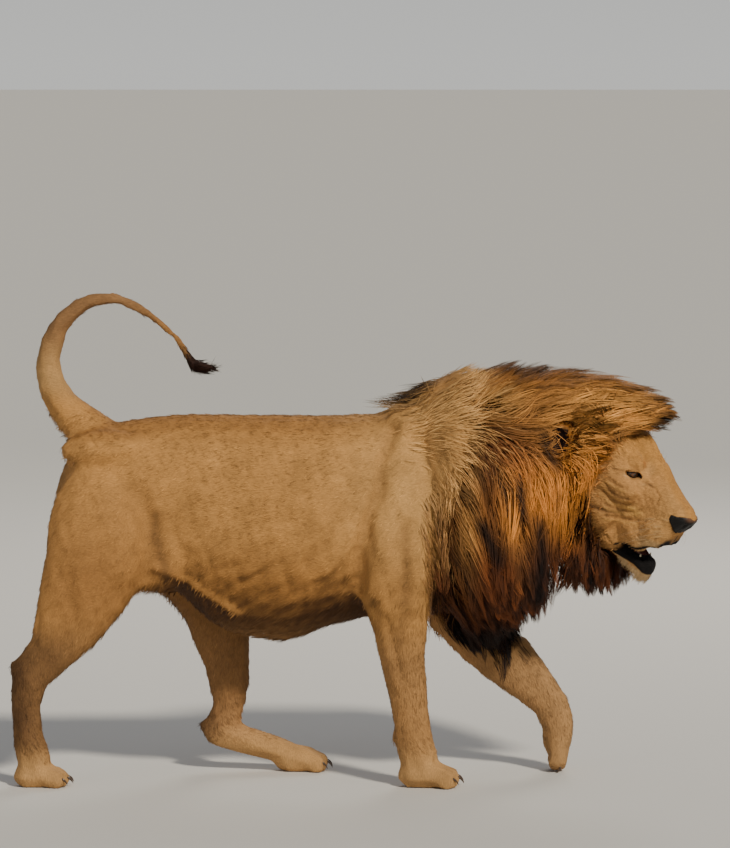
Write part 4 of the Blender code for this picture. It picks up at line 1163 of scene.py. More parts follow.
def grown(kind, roots, outs, heading, lengths, lifts, colours, unwrap, draw,
          widths=None, over=None, power=1.0):
    """Tufts of one kind along a surface; colours are the root's and the tip's.

    over is a field, the least height of the tips over it, and how much further they may stand off.
    """
    paths = laid(roots, outs, heading, lengths, lifts, kind.rings, draw, kind.bow)
    if over:
        field, least, more = over
        paths = along_field(field, paths, least + more * draw.random(kind.count))
    light = np.exp(kind.tone * draw.normal(size=kind.count))[:, None]
    colours = shaded(colours[0] * light, colours[1] * light, kind.rings, power)
    widths = tapered(np.full(kind.count, kind.width) if widths is None else widths, kind.rings)
    return spikes(paths, widths, outs, colours, kind.flat, unwrap.at(roots), kind.own)


def along_field(field, paths, clearance):
    """Paths moved out where they would run below a level over the mane's outline."""
    flat = paths.reshape(-1, 3)
    gap, out = field.read(flat)
    push = np.maximum(np.repeat(clearance, paths.shape[1]) - gap, 0)
    share = np.tile(np.linspace(0, 1, paths.shape[1]) ** 0.5, len(paths))
    return (flat + out * (push * share)[:, None]).reshape(paths.shape)


# ---------------------------------------------------------------- short fur
TAIL_LINE = ((-0.66, 0, 0.985), (-0.797, 0, 1.127), (-0.812, 0, 1.284), (-0.714, 0, 1.4),
             (-0.575, 0, 1.397), (-0.45, 0, 1.303), (-0.396, 0, 1.219), (-0.336, 0, 1.217))
FUR_COMBS = (           # place (x, z), direction (x, z), reach
    ((-0.2, 0.95), (-1.0, -0.18), 0.3), ((-0.2, 0.62), (-1.0, -0.3), 0.25),
    ((0.1, 0.8), (-0.85, -0.5), 0.15), ((0.25, 0.95), (-0.55, -0.8), 0.14),
    ((0.22, 0.65), (-0.25, -1.0), 0.15), ((-0.62, 0.8), (-0.6, -0.8), 0.18),
    ((-0.72, 0.5), (-0.55, -0.85), 0.12), ((-0.45, 0.55), (-0.2, -1.0), 0.12),
    ((0.2, 0.35), (0.05, -1.0), 0.16), ((-0.88, 0.22), (0.05, -1.0), 0.12),
    ((-0.31, 0.3), (0.0, -1.0), 0.12), ((0.56, 0.32), (0.6, -0.8), 0.12),
    ((0.67, 0.15), (0.1, -1.0), 0.08), ((0.29, 0.05), (0.9, -0.6), 0.07),
    ((-0.83, 0.05), (0.9, -0.6), 0.07), ((-0.2, 0.08), (1.0, -0.3), 0.12),
)


def of_tail(body):
    """True at places of the tail above its base."""
    return (body[:, 2] > 1.09) & (body[:, 0] < -0.22)


def comb_weight(body, x, z, reach):
    """How much a comb at x and z counts at places, fading with their distance in side view."""
    return np.exp(-((body[:, 0] - x) ** 2 + (body[:, 2] - z) ** 2) / (2 * reach ** 2)) + 1e-9


def fur_lie(points):
    """The way that the short fur lies over the body."""
    body = in_body(points)
    heading = np.zeros_like(points)
    for (x, z), (ahead, up), reach in FUR_COMBS:
        heading += comb_weight(body, x, z, reach)[:, None] * np.array((ahead, 0, up)) / reach
    heading = unit(heading)
    on_tail = of_tail(body)
    nearest = np.full(len(points), np.inf)
    along = np.zeros_like(points)
    line = np.array(TAIL_LINE)
    for start, end in zip(line, line[1:]):
        gap = np.linalg.norm(body - (start + end) / 2, axis=1)
        closer = gap < nearest
        along[closer] = unit(end - start)
        nearest = np.minimum(nearest, gap)
    heading[on_tail] = along[on_tail]
    return heading


def face_lie(points):
    """The way that the fur lies on the face: away from the nose, and down the jaw."""
    x, y, z = in_head(points).T
    up = 0.35 * ramp(z, -0.05, 0.03) - 0.45 * ramp(-z, 0.08, 0.17) - 1.2 * ramp(-z, 0.19, 0.23)
    out = -0.15 * ramp(-x, 0.0, 0.08)
    return unit(np.stack([-np.ones(len(x)), out * np.sign(-y), up], axis=1)) @ TURN.T


ROOT_SHADE, BODY_TIP_LIGHT, FACE_TIP_LIGHT = 0.94, 1.08, 1.1       # over the colour of the skin there


def build_body_fur(ground, mane, unwrap, draw):
    """Short tufts over the trunk, legs and tail."""
    z = in_body(ground.points)[:, 2]
    growth = 1 + 0.3 * ramp(-z, -0.6, -0.4) + 0.6 * ramp(-z, -0.16, -0.08)
    weight = (1 - ramp(mane, 0.15, 0.45)) * growth * ramp(z, 0.004, 0.012)
    roots, outs = ground.roots(weight, BODY_FUR.count, draw)
    body = in_body(roots)
    small = 1 - 0.55 * ramp(-body[:, 2], -0.14, -0.06)
    small *= 1 - 0.35 * of_tail(body)
    under = ramp(-outs[:, 2], 0.2, 0.7) * ramp(body[:, 2], 0.36, 0.42)
    lengths = (0.019 + 0.014 * under) * small * draw.uniform(0.7, 1.3, len(roots))
    lifts = (0.0026 + 0.003 * under) * small * draw.uniform(0.4, 1.3, len(roots))
    widths = BODY_FUR.width * small * draw.uniform(0.7, 1.3, len(roots))
    heading = ruffled(fur_lie(roots), BODY_FUR, draw)
    base = body_colour(roots, outs)
    colours = ROOT_SHADE * base, BODY_TIP_LIGHT * base
    return grown(BODY_FUR, roots, outs, heading, lengths, lifts, colours, unwrap, draw, widths)


BY_EYE = (-0.004, -0.066, 0.0)


def build_face_fur(ground, lips, unwrap, draw):
    """Short tufts over the face, smallest about the nose and the eyes."""
    head = on_face(ground.points)
    eye = np.linalg.norm((head - BY_EYE) / (1.0, 1.0, 0.55), axis=1)
    weight = (1 - lips) * ramp(eye, 0.02, 0.026) * (1 - ramp(leather_depth(head), -0.005, -0.001))
    weight *= 1 + 0.8 * ramp(head[:, 0], 0.0, 0.12)
    roots, outs = ground.roots(weight, FACE_FUR.count, draw)
    head = on_face(roots)
    x, _, z = head.T
    near_eye = 1 - ramp(np.linalg.norm(head - BY_EYE, axis=1), 0.02, 0.05)
    lengths = 0.0075 + 0.01 * ramp(-x, 0.0, 0.07) + 0.004 * ramp(-z, 0.15, 0.2)
    lengths *= (1 - 0.45 * near_eye) * (1 - 0.45 * ramp(x, 0.1, 0.17))
    lengths *= draw.uniform(0.7, 1.3, len(roots))
    lifts = 0.12 * lengths * draw.uniform(0.4, 1.4, len(roots))
    heading = ruffled(face_lie(roots), FACE_FUR, draw)
    widths = 0.13 * lengths + 0.0005
    base = face_colour(roots, np.zeros(len(roots)))
    colours = ROOT_SHADE * base, FACE_TIP_LIGHT * base
    return grown(FACE_FUR, roots, outs, heading, lengths, lifts, colours, unwrap, draw, widths)


# ---------------------------------------------------------------- mane
# The lie of the mane in side view: place (x, z), direction, length of the hair there.
MANE_COMBS = (
    ((0.2, 1.1), (0.9, 0.3), 0.1), ((0.26, 1.14), (0.8, 0.45), 0.12),
    ((0.35, 1.17), (0.85, 0.5), 0.15), ((0.49, 1.19), (0.9, 0.45), 0.17),
    ((0.67, 1.19), (0.97, 0.2), 0.19), ((0.84, 1.17), (1.0, -0.02), 0.18),
    ((0.94, 1.1), (0.95, -0.2), 0.12), ((0.55, 1.11), (0.72, 0.62), 0.18),
    ((0.72, 1.11), (0.88, 0.42), 0.18), ((0.87, 1.08), (1.0, 0.05), 0.15),
    ((0.32, 1.06), (0.9, 0.05), 0.12), ((0.36, 0.97), (0.72, -0.55), 0.15),
    ((0.38, 0.82), (0.42, -0.88), 0.2), ((0.35, 0.65), (0.38, -0.92), 0.22),
    ((0.33, 0.51), (0.55, -0.8), 0.14), ((0.49, 1.0), (0.32, -0.92), 0.22),
    ((0.52, 0.82), (0.15, -1.0), 0.26), ((0.49, 0.65), (0.32, -0.95), 0.26),
    ((0.46, 0.51), (0.48, -0.87), 0.15), ((0.61, 0.71), (0.02, -1.0), 0.22),
    ((0.59, 0.53), (0.05, -1.0), 0.12), ((0.62, 0.91), (0.02, -1.0), 0.22),
    ((0.64, 1.03), (0.5, 0.3), 0.13), ((0.71, 1.03), (0.88, 0.22), 0.12),
    ((0.72, 0.9), (-0.28, -0.92), 0.15), ((0.74, 0.76), (-0.2, -1.0), 0.16),
    ((0.78, 0.66), (0.0, -1.0), 0.15), ((0.86, 0.6), (0.1, -1.0), 0.14),
)
COMB_REACH, COMB_OUTWARD = 0.075, 0.1
MANE_RINGS = 6
FIELD_STEP, FIELD_MARGIN = 0.014, 0.1


def combed(points):
    """The way that the mane lies at points, and how long it is there."""
    body = in_body(points)
    heading, length, total = np.zeros_like(points), np.zeros(len(points)), np.zeros(len(points))
    for (x, z), (ahead, up), long in MANE_COMBS:
        weight = comb_weight(body, x, z, COMB_REACH)
        heading[:, 0] += weight * ahead
        heading[:, 2] += weight * up
        length += weight * long
        total += weight
    heading = unit(heading)
    heading[:, 1] += COMB_OUTWARD * np.sign(body[:, 1])
    return unit(heading), length / total


def trace(field, roots, lengths, starts, levels, veer, free):
    """Paths of hairs: each rises from its root to its level over the surface, and follows the combing.

    starts and levels are heights over the surface, veer is a turn to one side, and free is how far
    a hair may hang clear of the surface before it ends.
    """
    count = MANE_RINGS
    gap, out = field.read(roots)
    place = roots + out * (starts - gap)[:, None]
    path, clear = [place], [starts]
    for ring in range(1, count):
        heading, _ = combed(place)
        heading = unit(heading + np.cross(out, heading) * veer[:, None])
        lift = (heading * out).sum(axis=1)
        heading = heading - out * np.minimum(lift, 0)[:, None]
        place = place + unit(heading) * (lengths / (count - 1))[:, None]
        gap, out = field.read(place)
        share = min(ring / 2.5, 1.0)
        wanted = starts + (levels - starts) * share
        hold = np.where(gap < wanted, 1.0, 0.75 * (1 - ramp(lift, 0.1, 0.45)))
        place = place + out * ((wanted - gap) * hold)[:, None]
        path.append(place)
        clear.append(gap + (wanted - gap) * hold)
    path, clear = np.stack(path, axis=1), np.stack(clear, axis=1)
    over = clear > free[:, None]
    last = np.where(over.any(axis=1), over.argmax(axis=1), count - 1)
    return stretched(path, np.maximum(last, 2) / (count - 1))


def stretched(path, share):
    """Each path cut off at a share of its length, with its rings spaced out again."""
    count = path.shape[1]
    spot = np.linspace(0, 1, count)[None] * share[:, None] * (count - 1)
    low = np.minimum(spot.astype(int), count - 2)
    rest = (spot - low)[..., None]
    rows = np.arange(len(path))[:, None]
    return path[rows, low] * (1 - rest) + path[rows, low + 1] * rest


CREST, CREST_LIT, WITHERS_TAN = lit(134, 86, 38), lit(200, 148, 82), lit(226, 174, 108)
# The mane's near-black is partly its own black hair and partly painted shadow of the head on the neck.
MANE_MID, MANE_BROWN, MANE_BLACK_AND_SHADOW = lit(100, 55, 22), lit(80, 40, 15), lit(16, 7, 5)
RUFF_GOLD, RUFF_LOW, FORELOCK_GOLD = lit(206, 130, 54), lit(96, 50, 20), lit(232, 164, 84)


# Where the mane is nearly black, where shadow is painted on it and where it is lit, as x and z.
SPINE_DARK, SPINE_WIDTH = ((0.13, 1.09), (0.2, 1.112), (0.26, 1.14), (0.3, 1.17)), 0.026
# Locks painted nearly black as shade, most of it the head's shadow on the neck.
SHADED_LOCKS = (          # line, width
    (((0.44, 0.77), (0.462, 0.72), (0.48, 0.68)), 0.026),
    (((0.545, 0.9), (0.552, 0.79)), 0.013),
    (((0.6, 0.78), (0.61, 0.69), (0.6, 0.56)), 0.03),
    (((0.612, 1.04), (0.626, 0.985), (0.65, 0.955)), 0.016),
)
LIT_LOCK = ((0.5, 0.92), (0.53, 0.74), (0.56, 0.6))


def mane_base(roots):
    """The mane's colour at places of it."""
    body, head = in_body(roots), in_head(roots)
    x, _, z = body.T
    ruff = np.exp(-((head[:, 0] + 0.12) / 0.1) ** 2) * ramp(-head[:, 2], -0.16, -0.02)
    return blend(
        evenly(MANE_MID, len(roots)),
        (MANE_BROWN, 0.85 * ramp(-z, -0.9, -0.66)),
        (CREST_LIT, 0.28 * near_line(body, LIT_LOCK, 0.03)),
        (CREST, 0.9 * ramp(z, 0.98, 1.1)),
        (WITHERS_TAN, ramp(-x, -0.46, -0.35) * ramp(z, 0.8, 0.96)),
        (CREST_LIT, 0.7 * near_place(body, (0.44, 0, 1.13), (0.12, ANY, 0.05))),
        (CREST_LIT, 0.55 * near_place(body, (0.395, 0, 0.78), (0.04, ANY, 0.16))),
        (RUFF_GOLD, ruff * ramp(z, 0.64, 0.84)),
        (RUFF_LOW, 0.8 * ruff * ramp(-z, -0.76, -0.64)),
        (MANE_BLACK_AND_SHADOW, 0.9 * ramp(-z, -0.5, -0.42)),
        (FORELOCK_GOLD, near_place(body, (0.82, 0, 1.09), (0.16, ANY, 0.075))),
        (FORELOCK_GOLD, 0.8 * near_place(body, (0.7, 0, 1.03), (0.08, ANY, 0.06))),
        # Painted shadow on the neck's locks.
        *((MANE_BLACK_AND_SHADOW, 0.93 * near_line(body, line, width)) for line, width in SHADED_LOCKS),
        (MANE_BLACK_AND_SHADOW, 0.95 * near_line(body, SPINE_DARK, SPINE_WIDTH)),
    )


BRIGHTEST = 0.8         # of a hair's colour, which keeps its hue


def mane_colour(paths, draw, clump):
    """Colours along the hairs: locks differ more than the hairs in one do."""
    count, rings = paths.shape[:2]
    flat = paths.reshape(-1, 3)
    body = in_body(flat)
    share = np.tile(np.linspace(0, 1, rings), count)
    dark_tip = near_place(body, (0.96, 0, 1.09), (0.06, ANY, 0.08)) + 0.8 * ramp(body[:, 2], 1.18, 1.215)
    base = blend(mane_base(flat), (MANE_BLACK_AND_SHADOW, 0.9 * np.clip(dark_tip, 0, 1) * ramp(share, 0.3, 0.9)))
    drift = waves(in_body(paths[:, rings // 2]) * (1.0, 1.0, 0.28), 0.055, 41)
    tone = 0.28 * drift + 0.34 * draw.normal(size=clump.max() + 1)[clump] + 0.12 * draw.normal(size=count)
    # Each hair is painted darker towards its root, as shade among the hairs.
    tone = np.exp(tone)[:, None] * (0.8 + 0.32 * np.linspace(0, 1, rings))[None]
    colours = base.reshape(paths.shape) * tone[..., None]
    return colours * np.minimum(BRIGHTEST / colours.max(axis=2, keepdims=True), 1.0)


# The last column darkens the deeper layers, as painted shade among the locks.
LAYERS = (              # share of locks, level over the outline, width, how far they may hang clear, light
    (0.22, -0.032, 0.0044, 0.006, 0.36),
    (0.34, -0.016, 0.0028, 0.012, 0.76),
    (0.44, -0.005, 0.002, 0.016, 1.06),
)
MANE_LOCKS, HAIRS_A_LOCK = 1650, 15
LOCK_SPREAD, LOCK_DRAW_IN = (0.015, 0.018), 0.8        # across and along; how far its tips draw together
LOCK_VEER, HAIR_VEER = 0.18, 0.05       # how much locks and the hairs in one turn aside
ROOT_BELOW, HIGHEST = 0.022, 0.008      # of the roots under their layer, and of the hair over the outline
LOCK_SWAY, HAIR_SWAY = (4, 0.007), (6, 0.002)           # how fast and how far they wave


def swaying(along, phases, fast, far):
    """How far hairs wave aside, more towards their tips."""
    return np.sin(fast * along + phases[:, None]) * along * far


def build_mane(outer, field, unwrap, draw):
    """Locks of hair over the mane's outline, in layers, each lock a bunch of hairs that draw together."""
    cover = nearness(outer.points, MANE_NODES, 0.05)
    weight = ramp(cover, 0.25, 0.95)
    made = []
    for share, level, width, free, light in LAYERS:
        locks = int(MANE_LOCKS * share)
        centres, chosen = outer.scatter(weight, locks, draw)
        edge = ramp(cover[outer.faces[chosen]].mean(axis=1), 0.2, 0.95)
        count = locks * HAIRS_A_LOCK
        clump = np.repeat(np.arange(locks), HAIRS_A_LOCK)
        _, out = field.read(centres)
        heading, length = combed(centres)
        side = unit(np.cross(heading, out))
        spread = draw.normal(size=(count, 2)) * LOCK_SPREAD
        roots = centres[clump] + side[clump] * spread[:, :1] + heading[clump] * spread[:, 1:]
        long = length[clump] * (0.45 + 0.55 * edge[clump]) * draw.uniform(0.75, 1.15, count)
        veer = (LOCK_VEER * draw.normal(size=locks))[clump] + HAIR_VEER * draw.normal(size=count)
        starts = level - ROOT_BELOW * draw.uniform(0.8, 1.3, count) * (0.3 + 0.7 * edge[clump])
        levels = level + 0.003 * draw.normal(size=count) + (0.006 * draw.normal(size=locks))[clump]
        levels = np.minimum(levels, HIGHEST)
        paths = trace(field, roots, long, starts, levels, veer, free * draw.uniform(0.3, 1.2, count))
        leader = paths[::HAIRS_A_LOCK][clump]
        along = np.linspace(0, 1, MANE_RINGS)[None]
        paths = paths + (leader - paths) * (LOCK_DRAW_IN * along ** 1.3)[..., None]
        sway = swaying(along, draw.uniform(0, 6.28, locks)[clump], *LOCK_SWAY)
        sway += swaying(along, draw.uniform(0, 6.28, count), *HAIR_SWAY)
        paths = paths + side[clump][:, None] * sway[..., None]
        # Deeper layers are painted darker, as shade among the locks.
        colours = mane_colour(paths, draw, clump) * light
        widths = width * draw.uniform(0.7, 1.4, count)
        made.append(spikes(paths, tapered(widths, MANE_RINGS), out[clump], colours, 0.4,
                           unwrap.at(centres)[clump], 0.6))
    return made


def build_shoulder_hair(ground, mane, field, unwrap, draw):
    """Longer tan hair on the withers and shoulder, where the short coat turns into the mane."""
    x, _, z = in_body(ground.points).T
    weight = ramp(mane, 0.02, 0.3) * (1 - ramp(mane, 0.8, 0.98)) * ramp(z, 0.4, 0.6)
    weight = np.maximum(weight, 0.9 * ramp(x, 0.17, 0.26) * ramp(z, 0.92, 1.02) * (x < 0.47))
    roots, outs = ground.roots(weight * (x < 0.5), SHOULDER_HAIR.count, draw)
    body = in_body(roots)
    spine = near_line(body, SPINE_DARK, SPINE_WIDTH)
    heading = ruffled(combed(roots)[0] + spine[:, None] * (-2.6, 0, -0.4), SHOULDER_HAIR, draw)
    lengths = (0.045 + 0.035 * ramp(body[:, 2], 0.9, 1.05)) * draw.uniform(0.6, 1.25, len(roots))
    lifts = 0.1 * lengths * draw.uniform(0.3, 1.3, len(roots))
    tan = 0.5 * ramp(body[:, 2], 0.75, 0.95) * (1 - spine)
    short, long = body_colour(roots, outs), mane_base(roots)
    colours = blend(short, (MANE_BLACK_AND_SHADOW, spine)), blend(long, (WITHERS_TAN, tan))
    return grown(SHOULDER_HAIR, roots, outs, heading, lengths, lifts, colours, unwrap, draw,
                 over=(field, 0.001, 0.003))


def build_cheek_hair(ground, field, unwrap, draw):
    """Hair that grows from the edge of the face back over the ruff."""
    x, _, z = in_head(ground.points).T
    weight = ramp(-x + 0.028 * ramp(-z, 0.06, 0.17), 0.042, 0.08) * ramp(-z, -0.16, -0.12)
    roots, outs = ground.roots(weight, CHEEK_HAIR.count, draw)
    x, y, z = in_head(roots).T
    up = -0.55 + 0.75 * ramp(z, 0.0, 0.07) - 0.9 * ramp(-z, 0.13, 0.2)
    local = unit(np.stack([np.full(len(x), -0.85), 0.5 * np.sign(y), up], axis=1))
    heading = ruffled(local @ TURN.T, CHEEK_HAIR, draw)
    lengths = (0.024 + 0.08 * ramp(-x, 0.045, 0.12)) * draw.uniform(0.6, 1.3, len(roots))
    lifts = 0.2 * lengths * draw.uniform(0.3, 1.2, len(roots))
    colours = face_colour(roots, np.zeros(len(roots))), mane_base(roots)
    return grown(CHEEK_HAIR, roots, outs, heading, lengths, lifts, colours, unwrap, draw,
                 over=(field, 0.002, 0.006), power=0.7)


def build_chin_hair(ground, part, lips, unwrap, draw):
    """Pale hair that hangs from the chin."""
    x, _, z = in_head(ground.points).T
    weight = ramp(part, 0.5, 0.9) * (1 - lips) * ramp(x, 0.015, 0.05) * ramp(-z, 0.225, 0.25)
    roots, outs = ground.roots(weight, CHIN_HAIR.count, draw)
    heading = ruffled(np.array((-0.25, 0, -1.0)) @ TURN.T + 0.9 * outs, CHIN_HAIR, draw)
    lengths = draw.uniform(0.012, 0.03, len(roots))
    base = evenly(CHIN, len(roots))
    colours = 0.9 * base, 1.1 * base
    return grown(CHIN_HAIR, roots, outs, heading, lengths, 0.22 * lengths, colours, unwrap, draw)


def build_ear_hair(ground, unwrap, draw):
    """Golden strands combed back over each ear, dark at their roots."""
    roots, outs = ground.roots(np.ones(len(ground.points)), EAR_HAIR.count, draw)
    heading = ruffled(combed(roots)[0], EAR_HAIR, draw)
    lengths = draw.uniform(0.02, 0.045, len(roots))
    base = evenly(RUFF_GOLD, len(roots))
    return grown(EAR_HAIR, roots, outs, heading, lengths, 0.1 * lengths, (0.35 * base, base), unwrap, draw)


def build_tail_tuft(ground, unwrap, draw):
    """The dark tuft at the tail's end."""
    body = in_body(ground.points)
    weight = near_place(body, (-0.385, -0.033, 1.215), (0.05, 0.06, 0.06))
    weight = weight * (body[:, 2] > 1.12) * (body[:, 0] < -0.3)
    roots, outs = ground.roots(np.where(weight > 0.15, weight, 0), TAIL_HAIR.count, draw)
    heading = ruffled(fur_lie(roots), TAIL_HAIR, draw)
    reach = ramp(in_body(roots)[:, 0], -0.44, -0.37)
    lengths = (0.018 + 0.022 * reach) * draw.uniform(0.6, 1.1, len(roots))
    base = evenly(TUFT_DARK, len(roots))
    return grown(TAIL_HAIR, roots, outs, heading, lengths, 0.12 * lengths, (base, 1.2 * base), unwrap, draw)


# ---------------------------------------------------------------- whiskers
WHISKER_RADIUS, EYEBROW_RADIUS = 0.0007, 0.0006
WHISKER_SAG, EYEBROW_SAG = -0.22, -0.1
WHISKERS_A_ROW, WHISKERS_A_BROW, WHISKER_RINGS = 3, 3, 8


def build_whiskers(face, material, unwrap, draw):
    """Stiff whiskers from the four rows on each side, and a few over the eyes."""
    paths, widths = [], []
    for side in (1, -1):
        for row in WHISKER_ROWS:
            line = np.array(row) * (1, side, 1)
            for _ in range(WHISKERS_A_ROW):
                spot = 2 * draw.uniform(0.1, 0.9)
                first = int(spot > 1)
                root = line[first] + (line[first + 1] - line[first]) * (spot - first)
                heading = np.array((draw.uniform(-0.45, 0.1), -side, draw.uniform(-0.35, 0.05)))
                paths.append(curved(face, root, unit(heading), draw.uniform(0.05, 0.1), WHISKER_SAG, draw))
                widths.append(WHISKER_RADIUS)
        for _ in range(WHISKERS_A_BROW):
            root = np.array((draw.uniform(-0.01, 0.015), -side * 0.046, draw.uniform(0.04, 0.055)))
            heading = np.array((draw.uniform(-0.1, 0.3), -side * 0.7, 0.8))
            paths.append(curved(face, root, unit(heading), draw.uniform(0.03, 0.05), EYEBROW_SAG, draw))
            widths.append(EYEBROW_RADIUS)
    paths = np.array(paths)
    outs = np.tile(TURN[:, 2], (len(paths), 1))
    colours = np.tile(np.array(WHISKER), (len(paths), WHISKER_RINGS, 1))
    stiff = spikes(paths, tapered(np.array(widths), WHISKER_RINGS, 0.45), outs, colours, 1.0,
                   unwrap.at(paths[:, 0]))
    coat_pieces("whiskers", [stiff], material)


def curved(face, root, heading, length, sag, draw):
    """One whisker from the face, which bends down and back: places in the row's frame."""
    start = np.array(face.find_nearest(Vector(from_head(root)))[0])
    share = np.linspace(0, 1, WHISKER_RINGS)[:, None]
    bend = np.array((-0.5, 0, sag * 3)) * length * share ** 2
    local = heading * length * share + bend * draw.uniform(0.5, 1.2)
    return start + local @ TURN.T


# ---------------------------------------------------------------- light and camera
FLOOR_REACH, FLOOR_COLOUR = 300, (0.62, 0.6, 0.56)
SKY = ((0.0, (0.62, 0.62, 0.6, 1)), (0.3, (0.17, 0.19, 0.22, 1)))     # from the horizon up
LAMPS_AIM = (0.05, 0, 0.7)
LAMPS = (               # name, kind, place, size or spread, power, colour
    ("key", "SUN", (4.5, -7.0, 7.6), math.radians(7), 3.4, (1.0, 0.93, 0.8)),
    ("fill", "AREA", (-6.5, -6.0, 3.0), 4.0, 60, (0.95, 0.97, 1.0)),
    ("rim", "AREA", (2.0, 6.0, 5.0), 3.0, 160, (1.0, 0.95, 0.9)),
)
CAMERA_PLACE = (0.101, -12.0, 2.1)      # in the body's frame
CAMERA_PITCH = math.radians(5.02)
CAMERA_LENS = 175.1


def build_stage():
    """A pale floor, light from the front right, and a plain backdrop that is lightest at the horizon."""
    corners = np.array([(-1, -1, 0), (1, -1, 0), (1, 1, 0), (-1, 1, 0)], float) * FLOOR_REACH
    floor = placed("floor", mesh_of("floor", corners, np.array([[0, 1, 2, 3]])))
    floor.data.materials.append(plain("pale_floor", FLOOR_COLOUR, 0.9))
    world = bpy.data.worlds.new("studio")
    world.use_nodes = True
    tree = world.node_tree
    height = tree.nodes.new("ShaderNodeSeparateXYZ")
    tree.links.new(tree.nodes.new("ShaderNodeTexCoord").outputs["Generated"], height.inputs[0])
    shade = tree.nodes.new("ShaderNodeValToRGB")
    for stop, (place, colour) in zip(shade.color_ramp.elements, SKY):
        stop.position, stop.color = place, colour
    tree.links.new(height.outputs["Z"], shade.inputs["Fac"])
    tree.links.new(shade.outputs["Color"], tree.nodes["Background"].inputs["Color"])
    tree.nodes["Background"].inputs["Strength"].default_value = 1.0
    bpy.context.scene.world = world
    for name, kind, place, size, power, colour in LAMPS:
        light = bpy.data.lights.new(name, kind)
        setattr(light, "angle" if kind == "SUN" else "size", size)
        light.energy, light.color = power, colour
        lamp = placed(name, light)
        lamp.location = from_body(place)
        aim = Vector(from_body(LAMPS_AIM)) - lamp.location
        lamp.rotation_euler = aim.to_track_quat("-Z", "Y").to_euler()


def build_camera():
    lens = bpy.data.cameras.new("camera")
    lens.lens = CAMERA_LENS
    camera = placed("camera", lens)
    camera.location = from_body(CAMERA_PLACE)
    camera.rotation_euler = (math.pi / 2 - CAMERA_PITCH, 0, 0)
    bpy.context.scene.camera = camera


# ---------------------------------------------------------------- materials
def plain(name, colour, roughness):
    made = bpy.data.materials.new(name)
    made.use_nodes = True
    surface = made.node_tree.nodes["Principled BSDF"]
    surface.inputs["Base Color"].default_value = (*colour, 1)
    surface.inputs["Roughness"].default_value = roughness
    return made


class Graph:
    """A short way to write a material's nodes."""

    def __init__(self, name):
        self.material = bpy.data.materials.new(name)
        self.material.use_nodes = True
        self.tree = self.material.node_tree
        self.surface = self.tree.nodes["Principled BSDF"]

    def node(self, kind, inputs, **settings):
        made = self.tree.nodes.new("ShaderNode" + kind)
        for setting, value in settings.items():
            setattr(made, setting, value)
        for socket, value in inputs.items():
            if isinstance(value, bpy.types.NodeSocket):
                self.tree.links.new(value, made.inputs[socket])
            else:
                made.inputs[socket].default_value = value
        return made

    def attribute(self, name, output="Color"):
        return self.node("Attribute", {}, attribute_name=name).outputs[output]

    def noise(self, scale, detail, stretch=(1, 1, 1)):
        place = self.node("TexCoord", {}).outputs["Object"]
        place = self.node("Mapping", {"Vector": place, "Scale": stretch}).outputs["Vector"]
        return self.node("TexNoise", {"Vector": place, "Scale": scale, "Detail": detail,
                                      "Roughness": 0.55}).outputs["Fac"]

    def maths(self, operation, first, second, third=0.0):
        return self.node("Math", {0: first, 1: second, 2: third}, operation=operation).outputs[0]

    def mix(self, share, first, second):
        """A number between two others."""
        return self.node("Mix", {0: share, 2: first, 3: second}, data_type="FLOAT").outputs[0]

    def tinted(self, pattern, strength, least):
        """The painted colour, times strength of a pattern over least."""
        tone = self.maths("MULTIPLY_ADD", pattern, strength, least)
        return self.node("VectorMath", {0: self.attribute("Tint"), "Scale": tone},
                         operation="SCALE").outputs[0]

    def finish(self, colour, bump=None, strength=0.5, distance=0.001, roughness=None, **sockets):
        self.tree.links.new(colour, self.surface.inputs["Base Color"])
        if roughness is not None:
            self.tree.links.new(roughness, self.surface.inputs["Roughness"])
        for socket, value in sockets.items():
            self.surface.inputs[socket.replace("_", " ")].default_value = value
        if bump is not None:
            made = self.node("Bump", {"Height": bump, "Strength": strength, "Distance": distance})
            self.tree.links.new(made.outputs["Normal"], self.surface.inputs["Normal"])
        return self.material


STREAK_SCALE, GRAIN_SCALE, GRAIN_SHARE = 90, 420, 0.35


def coat_material(name, along, across):
    """Short fur: its streaks run along the lie of the hair, down the legs and back along the body."""
    graph = Graph(name)
    down = graph.attribute("Down", "Fac")
    body = graph.noise(STREAK_SCALE, 5, (along, across, across))
    legs = graph.noise(STREAK_SCALE, 5, (across, across, along))
    streaks = graph.mix(down, body, legs)
    grain = graph.maths("MULTIPLY", graph.noise(GRAIN_SCALE, 2), GRAIN_SHARE)
    bump = graph.maths("ADD", streaks, grain)
    rough = graph.maths("MULTIPLY_ADD", streaks, 0.2, 0.7)
    return graph.finish(graph.tinted(streaks, 1.1, 0.45), bump, 0.6, 0.003, rough, Specular_IOR_Level=0.2)


def hair_material(name, roughness, streak):
    """Hair: the colour is painted on each tuft, with a fine change along it."""
    graph = Graph(name)
    streaks = graph.noise(160, 3, (1, 1, 0.35))
    return graph.finish(graph.tinted(streaks, streak, 1 - streak / 2), streaks, 0.2,
                        Roughness=roughness, Specular_IOR_Level=0.25)


def wet_material(name, scale, bump, roughness, coat):
    """Leather, tongue or enamel, with a fine grain under a gloss."""
    graph = Graph(name)
    grain = graph.noise(scale, 3)
    return graph.finish(graph.tinted(grain, 0.5, 0.75), grain, bump, Roughness=roughness,
                        Coat_Weight=coat, Coat_Roughness=0.12, Specular_IOR_Level=0.25)


def eye_material():
    """The painted eyeball under a clear, wet coat."""
    graph = Graph("eye")
    return graph.finish(graph.tinted(graph.noise(900, 3), 0.9, 0.55), Roughness=0.25,
                        Coat_Weight=1.0, Coat_Roughness=0.02, Coat_IOR=1.45)


